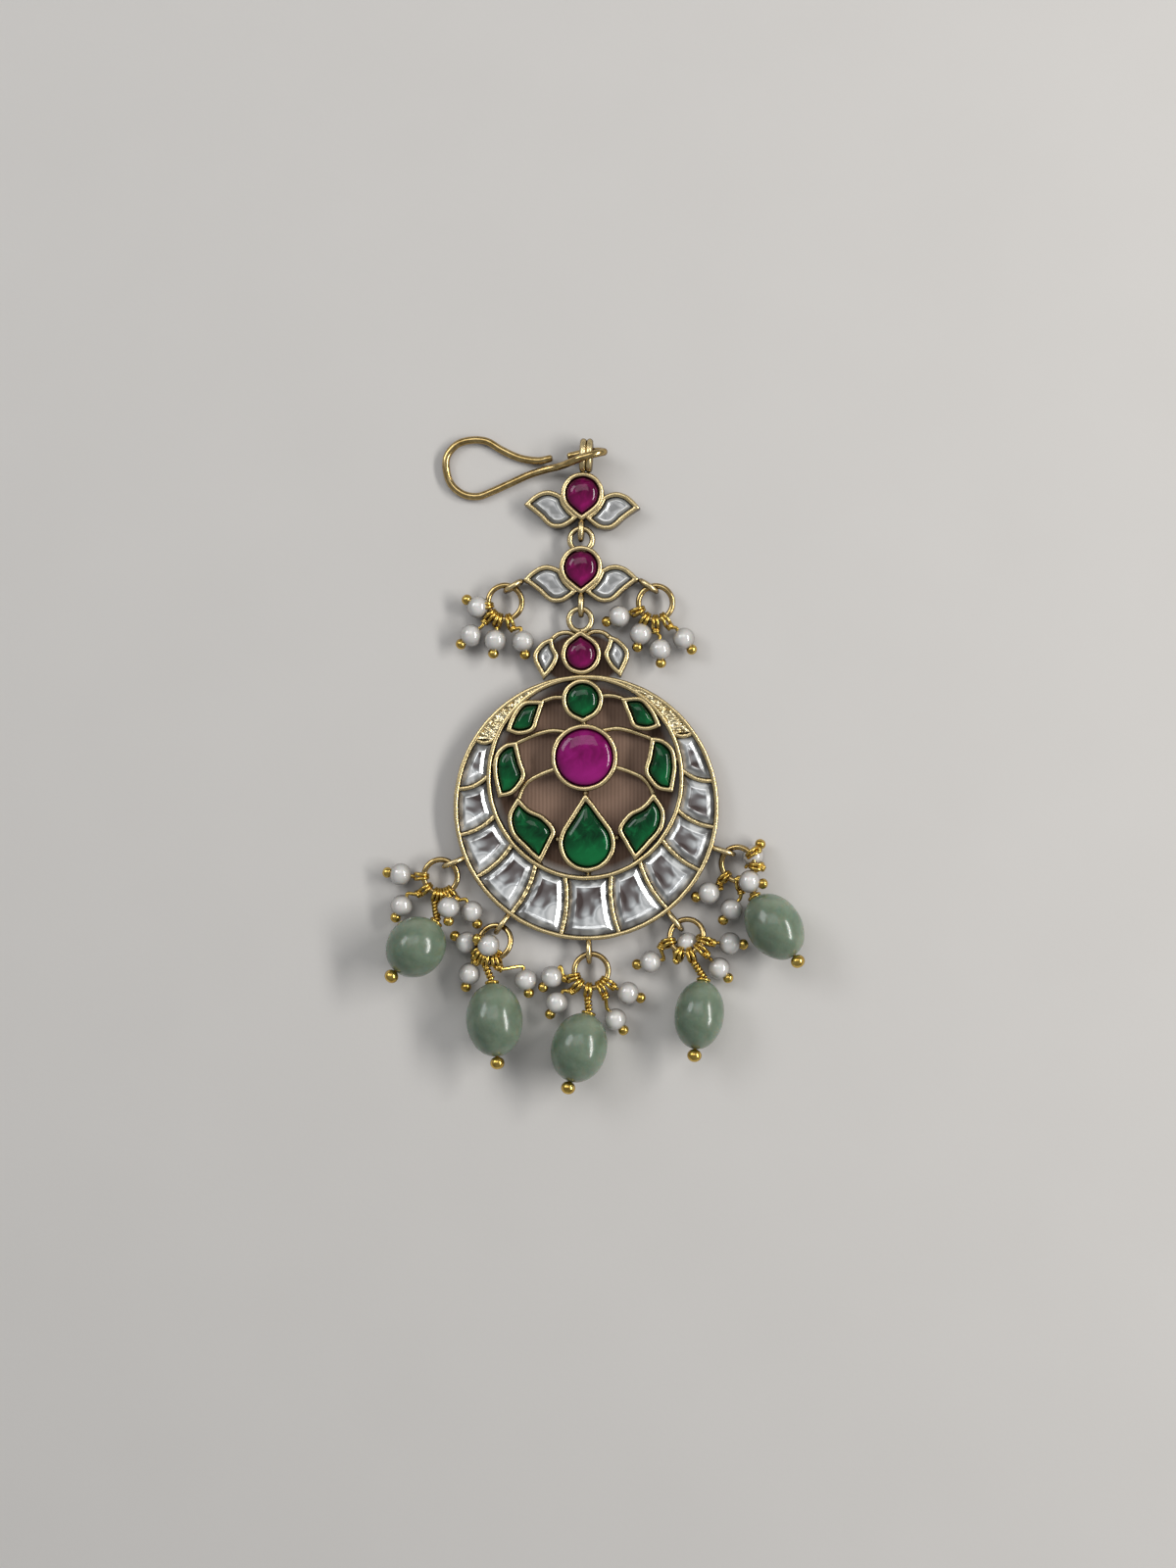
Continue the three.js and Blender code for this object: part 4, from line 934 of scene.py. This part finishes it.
def cabochon(sides, rise):
    outline = loop_at(sides, BEZEL_WALL + STONE_GAP, 0, 40)
    girdle = BEZEL_HEIGHT - 0.42
    loops = [scaled_loop(outline, 1.0, level) for level in (BEZEL_FLOOR + STONE_GAP, girdle)]
    for step in range(1, 15):
        scale = 1 - step / 15
        lift = rise * (1 - scale**2.6) ** 0.62
        loops.append(scaled_loop(outline, scale, girdle + lift))
    shape = Shape()
    shape.loops(loops, capped=True)
    return shape


# Rows of a cut stone: share of the bevel, edge and share of the table, height against the panel,
# share of the way from the girdle to the middle
CUT_ROWS = [
    (0, 0, 0, -0.6, 0.0),
    (0.55, 0, 0, -0.34, 0.3),
    (1, 0, 0, -0.12, 0.5),
    (1, 0.06, 0, -0.1, 0.58),
    (1, 0.06, 0.5, -0.13, 0.75),
    (1, 0.06, 1, -0.19, 0.9),
]
# Cuts of the clear stones: width of the bevel, width of the slope inside the table
PETAL_CUT = (0.42, 0.2)
CELL_CUT = (0.85, 0.3)


def cut_stone(sides, wall, bevel, table):
    """Cut stone: two rows of sloping crown facets up to a table that dips a little in the middle."""
    edge = wall + STONE_GAP
    rows = [(edge, BEZEL_FLOOR + STONE_GAP, 0.0)]
    for slope, step, flat, level, share in CUT_ROWS:
        rows.append((edge + bevel * slope + step + table * flat, PANEL_HEIGHT + level, share))
    loops = [loop_at(sides, distance, level, 24) for distance, level, _ in rows]
    shape = Shape()
    shape.loops(loops, capped=True)
    for _, _, share in rows:
        shape.shares.extend([share] * len(loops[0]))
    shape.shares.extend([0.0, 1.0])
    return shape


def centred(shape, frame_matrix, turn):
    """Moves a stone's points to its own middle and returns its place in the row frame."""
    middle = np.mean(np.array(shape.points), axis=0)
    local = Matrix.Translation(Vector(middle)) @ turned(turn, "Z")
    shape.place(local.inverted())
    return metres(frame_matrix @ local)


def cut_piece(name, shape, paint, frame_matrix, turn):
    place = centred(shape, frame_matrix, turn)
    piece(f"{name}_stone", shape, paint, [name], place, flat=True)


def add_stone(name, kind, sides, frame_matrix, turn=0.0):
    if kind == "clear":
        cut_piece(name, cut_stone(sides, BEZEL_WALL, *PETAL_CUT), "clear_petal", frame_matrix, turn)
        return
    shape = cabochon(sides, RISES[kind])
    place = centred(shape, frame_matrix, turn)
    paint = name if name in MATERIALS else kind
    piece(f"{name}_stone", shape, paint, [name], place, sharp=SHARP_ANGLE)


# Pendant
def horn_band():
    """Hammered band over the top of the crescent, from horn to horn."""
    last = DIVIDER_ANGLES[-1]
    rows = 420
    across = 22
    points = []
    for row in range(rows + 1):
        share = row / rows
        outer_turn = last[0] + (360 - 2 * last[0]) * share
        inner_turn = last[1] + (360 - 2 * last[1]) * share
        outer = polar(DISC_RADIUS - 0.1, outer_turn - 90)
        inner = opening_point(inner_turn, 0.1)
        width = np.linalg.norm(outer - inner)
        for step in range(across + 1):
            part = step / across
            place = outer * (1 - part) + inner * part
            crown = math.sin(math.pi * part) ** 0.5
            grain = noise.noise(Vector((place[0] * 1.7, place[1] * 1.7, 0.0)))
            grain += 0.7 * noise.noise(Vector((place[0] * 3.6, place[1] * 3.6, 5.0)))
            rough = min(max((width - 0.9) / 1.2, 0.0), 1.0)
            level = BEZEL_HEIGHT - 0.24 + 0.18 * crown + rough * crown * (0.34 * grain - 0.08)
            points.append((place[0], place[1], level))
    shape = Shape()
    shape.sheet(points, across)
    return shape


def pendant_setting():
    shape = Shape()
    for _, _, north, radius, tip in ROUND_BEZELS:
        add_bezel(shape, drop_sides(north, radius, tip), BEZEL_HEIGHT, DROP_STEPS)
    for _, kind, outer, inner in LEAVES:
        for mirror in (False, True):
            height = PANEL_HEIGHT if kind == "clear" else BEZEL_HEIGHT
            add_bezel(shape, leaf_sides(outer, inner, mirror), height)
    disc_at = lambda turn: polar(DISC_RADIUS, turn)
    rim_at = lambda turn: polar(DISC_RADIUS - RIM_WALL, turn)
    opening_at = lambda turn: opening_point(turn + 90, 0)
    collar_at = lambda turn: opening_point(turn + 90, RIM_WALL)
    add_ring_wall(shape, disc_at, rim_at, BEZEL_HEIGHT)
    add_ring_wall(shape, collar_at, opening_at, BEZEL_HEIGHT)
    add_plate(shape, rim_at, collar_at, BEZEL_FLOOR)
    add_plate(shape, rim_at, collar_at, 0.02)
    for angles, side in divider_lines():
        line = divider_line(angles, side, 0.1, RIM_WALL - 0.1)
        add_ridge(shape, line, CELL_DIVIDER / 2, BEZEL_FLOOR, BEZEL_HEIGHT - 0.12)
    for path in WIRE_PATHS:
        for side in (1, -1):
            add_wire(shape, [(side * east, north) for east, north in path])
    for east, north in SOLDER_SPOTS:
        add_solder(shape, east, north)
        if east:
            add_solder(shape, -east, north)
    for angle in EAR_ANGLES.values():
        centre = ear_place(angle)
        add_standing_loop(shape, *centre, EAR_RADIUS, EAR_WIRE, EAR_STRETCH, angle)
    add_flat_ring(shape, CROWN_RING_NORTH)
    shape.wobble()
    shape.place(PENDANT_FRAME)
    return shape


def ear_place(angle):
    return polar(DISC_RADIUS + EAR_RADIUS * EAR_STRETCH + EAR_WIRE - SOLDER_OVERLAP, angle)


def build_pendant():
    setting_piece("pendant", pendant_setting())
    band = horn_band()
    band.place(PENDANT_FRAME)
    piece("pendant_horn_band", band, "hammered_gold", ["pendant_setting"])
    for name, kind, north, radius, tip in ROUND_BEZELS:
        add_stone(name, kind, drop_sides(north, radius, tip), PENDANT_FRAME)
    for name, kind, outer, inner in LEAVES:
        for side, mirror in (("right", False), ("left", True)):
            turn = -35 if mirror else 35
            add_stone(f"{name}_{side}", kind, leaf_sides(outer, inner, mirror), PENDANT_FRAME, turn)
    lines = divider_lines()
    for number, (start, end) in enumerate(zip(lines, lines[1:]), 1):
        sides = cell_sides(start, end)
        middle = np.mean(np.concatenate(sides), axis=0)
        turn = math.degrees(math.atan2(middle[1], middle[0])) - 90
        shape = cut_stone(sides, CELL_DIVIDER / 2, *CELL_CUT)
        cut_piece(f"clear_crescent_{number:02d}", shape, "clear", PENDANT_FRAME, turn)


# Lotus links
def lotus_ears():
    ears = {}
    for name, heading in LOTUS_EAR_HEADINGS.items():
        side = -1 if name == "left" else 1
        tip = np.array([side * LOTUS_UPPER[0][0], LOTUS_UPPER[0][1]])
        centre = tip + polar(LOTUS_EAR_REACH, heading)
        ears[name] = {
            "heading": heading,
            "tip": tip - (side * SOLDER_RADIUS, 0),
            "centre": centre,
            "pass": centre + polar(EAR_PASS / 2, heading),
        }
    return ears


def build_lotus(name):
    place = LOTUS_PLACES[name]
    middle = Vector((DISC_PLACE[0] + place["east"], DISC_PLACE[1] + place["north"], 0))
    matrix = Matrix.Translation(middle) @ turned(place["turn"], "Z")
    ruby = drop_sides(0, LOTUS_DROP_RADIUS, LOTUS_DROP_TIP)
    petals = {"left": petal_sides(True), "right": petal_sides(False)}
    shape = Shape()
    add_bezel(shape, ruby, BEZEL_HEIGHT, DROP_STEPS)
    for sides in petals.values():
        add_bezel(shape, sides, PANEL_HEIGHT, PETAL_STEPS)
    loop_north = LOTUS_DROP_TIP - LOOP_RADIUS * place["stretch"] - LOOP_WIRE + SOLDER_OVERLAP
    add_standing_loop(shape, 0, loop_north, LOOP_RADIUS, LOOP_WIRE, place["stretch"], 90)
    add_solder(shape, 0, LOTUS_DROP_TIP + SOLDER_OVERLAP / 2)
    if name == "lotus_top":
        for side in (-1, 1):
            east = side * (BAIL_WIRE - 0.04) + BAIL_EAST
            height = BAIL_RADIUS + BAIL_WIRE + 0.03
            add_standing_loop(shape, east, BAIL_NORTH, BAIL_RADIUS, BAIL_WIRE, BAIL_STRETCH, 90, height)
    else:
        add_flat_ring(shape, LOTUS_RING_NORTH)
        for ear in lotus_ears().values():
            add_standing_loop(shape, *ear["centre"], EAR_RADIUS, EAR_WIRE, LOTUS_EAR_STRETCH, ear["heading"])
            add_solder(shape, *ear["tip"])
    shape.wobble()
    shape.place(matrix)
    setting_piece(name, shape)
    add_stone(f"{name}_ruby", "ruby", ruby, matrix)
    for side, sides in petals.items():
        turn = 60 if side == "right" else -60
        add_stone(f"{name}_petal_{side}", "clear", sides, matrix, turn)


# Hook
def build_hook():
    top = LOTUS_PLACES["lotus_top"]
    east = DISC_PLACE[0] + top["east"] + BAIL_EAST
    north = DISC_PLACE[1] + top["north"] + BAIL_NORTH
    path = smooth([(x + east, y + north, z) for x, y, z in HOOK_PATH], 260)
    radii = np.full(len(path), HOOK_WIRE)
    radii[:4] *= (0.72, 0.9, 0.97, 1.0)
    radii[-4:] *= (1.0, 0.97, 0.9, 0.72)
    shape = Shape()
    shape.tube(path, radii, 20)
    piece("hook_wire", shape, "wire_gold", ["hook"], sharp=60)


# Drops: a ring's frame is where it passes its ear, its middle a radius away
RING_SHIFT = Matrix.Translation((RING_RADIUS, 0, 0))


def ring_frame(place, ring):
    swing, tilt, lean = ring
    matrix = Matrix.Translation((*place, LINK_HEIGHT))
    return matrix @ turned(swing, "Z") @ turned(-tilt, "Y") @ turned(lean, "X")


def pin_loop(shape, matrix, turn):
    """The eye of a pin round the ring wire. Returns where its neck starts and which way it leaves."""
    reach = RING_RADIUS + PIN_LOOP_OFFSET
    centre = polar(reach, turn)
    local = Matrix.Translation((RING_RADIUS + centre[0], centre[1], 0))
    local = local @ turned(turn, "Z") @ turned(90, "X")
    for slip in (-PIN_LOOP_SLIP, PIN_LOOP_SLIP):
        aside = matrix @ RING_SHIFT @ turned(slip, "Z") @ RING_SHIFT.inverted()
        shape.hoop(aside @ local, PIN_LOOP_RADIUS, 26, PIN_WIRE, 10)
    end = polar(reach + PIN_LOOP_RADIUS, turn)
    start = matrix @ Vector((RING_RADIUS + end[0], end[1], 0))
    away = matrix.to_3x3() @ Vector((*polar(1, turn), 0))
    return np.array(start), np.array(away)


def add_coil(shape, start, end, radius, wire, turns):
    """Wire wound round a neck from start to end."""
    axis = end - start
    length = np.linalg.norm(axis)
    axis = axis / length
    side, front = square_to(axis, UP, EAST)
    count = int(turns * 14)
    path = []
    for step in range(count + 1):
        turn = 2 * math.pi * turns * step / count
        aside = radius * (math.cos(turn) * side + math.sin(turn) * front)
        path.append(start + axis * length * step / count + aside)
    shape.tube(path, wire, 8)


def add_pearl_drop(metal, pearls, matrix, place, pearl, seed):
    turn, east, north, height, heading = pearl
    start, away = pin_loop(metal, matrix, turn)
    centre = np.array([place[0] + east, place[1] + north, height])
    way = np.array([*polar(1, heading), 0.0])
    entry = centre - way * PEARL_RADIUS * 0.98
    head = centre + way * PIN_HEAD_REACH
    reach = np.linalg.norm(entry - start)
    bend = min(0.35, reach * 0.3)
    line = smooth([start, start + away * bend, entry - way * bend, entry, centre, head], 36)
    metal.tube(line, PIN_WIRE, 10)
    if reach > 0.7:
        neck = line[: max(4, int(len(line) * min(0.28, 1.1 / reach)))]
        neck_length = np.linalg.norm(neck[-1] - neck[0])
        turns = max(2.0, neck_length / (PIN_WIRE * 1.5))
        add_coil(metal, neck[0], neck[-1], PIN_WIRE * 1.6, PIN_WIRE * 0.8, turns)
    metal.ball(head, (PIN_HEAD_RADIUS, PIN_HEAD_RADIUS * 0.94), way, 20, 12, 0.05, seed)
    pearls.ball(centre, (PEARL_RADIUS, PEARL_RADIUS * 0.97), way, 32, 20, 0.035, seed)


def bead_pose(place, bead):
    _, east, north, heading, half_length, radius = bead
    tilt = math.radians(BEAD_TILT)
    belly = math.hypot(radius * math.cos(tilt), half_length * math.sin(tilt)) + 0.03
    flat = polar(math.cos(tilt), heading)
    centre = np.array([place[0] + east, place[1] + north, belly])
    return centre, np.array([*flat, math.sin(tilt)])


def add_bead_pin(metal, matrix, place, bead, seed):
    start, _ = pin_loop(metal, matrix, bead[0])
    centre, axis = bead_pose(place, bead)
    half_length = bead[4]
    entry = centre - axis * (half_length + BEAD_WRAP_RADIUS * 0.4)
    head = centre + axis * (half_length + BEAD_HEAD_RADIUS * 0.74)
    metal.tube(smooth([start, (start + entry) / 2, entry, centre], 24), PIN_WIRE, 10)
    metal.tube([centre, (centre + head) / 2, head], PIN_WIRE, 10)
    turns = max(3.0, np.linalg.norm(entry - start) / (PIN_WIRE * 2.1))
    add_coil(metal, start, entry, BEAD_WRAP_RADIUS - PIN_WIRE * 0.6, PIN_WIRE * 0.95, turns)
    cap = entry + axis * PIN_WIRE
    rotation = Vector(UP).rotation_difference(Vector(axis)).to_matrix().to_4x4()
    metal.hoop(Matrix.Translation(Vector(cap)) @ rotation, BEAD_WRAP_RADIUS * 1.6, 22, PIN_WIRE, 8)
    metal.ball(head, (BEAD_HEAD_RADIUS, BEAD_HEAD_RADIUS * 0.9), axis, 24, 14, 0.05, seed)


def build_bead(name, place, bead, seed):
    centre, axis = bead_pose(place, bead)
    shape = Shape()
    shape.ball(np.zeros(3), (bead[5] * 0.972, bead[4] * 0.972), axis, 56, 36, 0.015, seed)
    matrix = metres(Matrix.Translation(Vector(centre)))
    piece(f"bead_{name}_stone", shape, "bead", [f"bead_{name}"], matrix)


def build_cluster(name, place, seed):
    cluster = CLUSTERS[name]
    matrix = ring_frame(place, cluster["ring"])
    ring = Shape()
    ring.hoop(matrix @ RING_SHIFT, RING_RADIUS, 64, RING_WIRE, 16)
    metal = Shape()
    pearls = Shape()
    for index, pearl in enumerate(cluster["pearls"]):
        add_pearl_drop(metal, pearls, matrix, place, pearl, seed + index * 1.7)
    if "bead" in cluster:
        add_bead_pin(metal, matrix, place, cluster["bead"], seed)
        build_bead(name, place, cluster["bead"], seed)
    nodes = [f"drops_{name}"]
    piece(f"jump_ring_{name}", ring, "wire_gold", nodes)
    piece(f"pins_{name}", metal, "pin_gold", nodes)
    piece(f"pearls_{name}", pearls, "pearl", nodes)


def pass_places():
    places = {}
    for name, angle in EAR_ANGLES.items():
        radius = np.linalg.norm(ear_place(angle)) + EAR_PASS
        places[name] = polar(radius, angle + PENDANT_TURN) + DISC_PLACE
    middle = LOTUS_PLACES["lotus_middle"]
    for name, ear in lotus_ears().items():
        places[f"lotus_{name}"] = ear["pass"] + (middle["east"], middle["north"]) + DISC_PLACE
    return places


# Floor, lights and camera
FLOOR_REACH = 1.2
FLOOR_GAP = 0.02
# Lights, all turned to the middle: name, place, size, power, colour
LIGHTS = [
    ("window", (0.46, 0.05, 0.34), (0.5, 0.08), 2.3, (1.0, 0.985, 0.96)),
    ("skylight", (-0.06, 0.4, 0.72), (0.6, 0.4), 1.15, (1.0, 0.99, 0.98)),
    ("second_window", (-0.42, 0.3, 0.42), (0.3, 0.22), 0.9, (0.97, 0.985, 1.0)),
]


def build_floor():
    corners = [(FLOOR_REACH * x, FLOOR_REACH * y, 0) for x, y in ((-1, -1), (1, -1), (1, 1), (-1, 1))]
    mesh = bpy.data.meshes.new("floor")
    mesh.from_pydata(corners, [], [(0, 1, 2, 3)])
    floor = added("floor", mesh)
    floor.location.z = -FLOOR_GAP * MM
    mesh.materials.append(floor_paint())


def build_lights():
    world = bpy.data.worlds.new("studio")
    world.use_nodes = True
    Paint.set(world.node_tree.nodes["Background"], Color=(0.9, 0.92, 0.95, 1), Strength=0.24)
    bpy.context.scene.world = world
    for name, place, size, power, colour in LIGHTS:
        data = bpy.data.lights.new(name, "AREA")
        data.shape = "RECTANGLE"
        data.size, data.size_y = size
        data.energy = power
        data.color = colour
        light = added(name, data)
        light.location = place
        light.rotation_euler = (-Vector(place)).to_track_quat("-Z", "Y").to_euler()


def build_camera():
    data = bpy.data.cameras.new("camera")
    data.lens = CAMERA_LENS
    data.clip_start = 0.005
    camera = added("camera", data)
    lean = math.radians(CAMERA_LEAN)
    away = Vector((math.sin(lean), 0, math.cos(lean))) * CAMERA_DISTANCE
    camera.location = (Vector(CAMERA_TARGET) + away) * MM
    camera.rotation_euler = (0, lean, 0)
    bpy.context.scene.camera = camera


build_camera()
build_lights()
build_floor()
build_hook()
build_lotus("lotus_top")
build_lotus("lotus_middle")
build_pendant()
places = pass_places()
for number, cluster_name in enumerate(CLUSTERS):
    build_cluster(cluster_name, places[cluster_name], 3.1 + number * 5.3)

bpy.context.scene.view_settings.view_transform = "Standard"
bpy.context.view_layer.update()
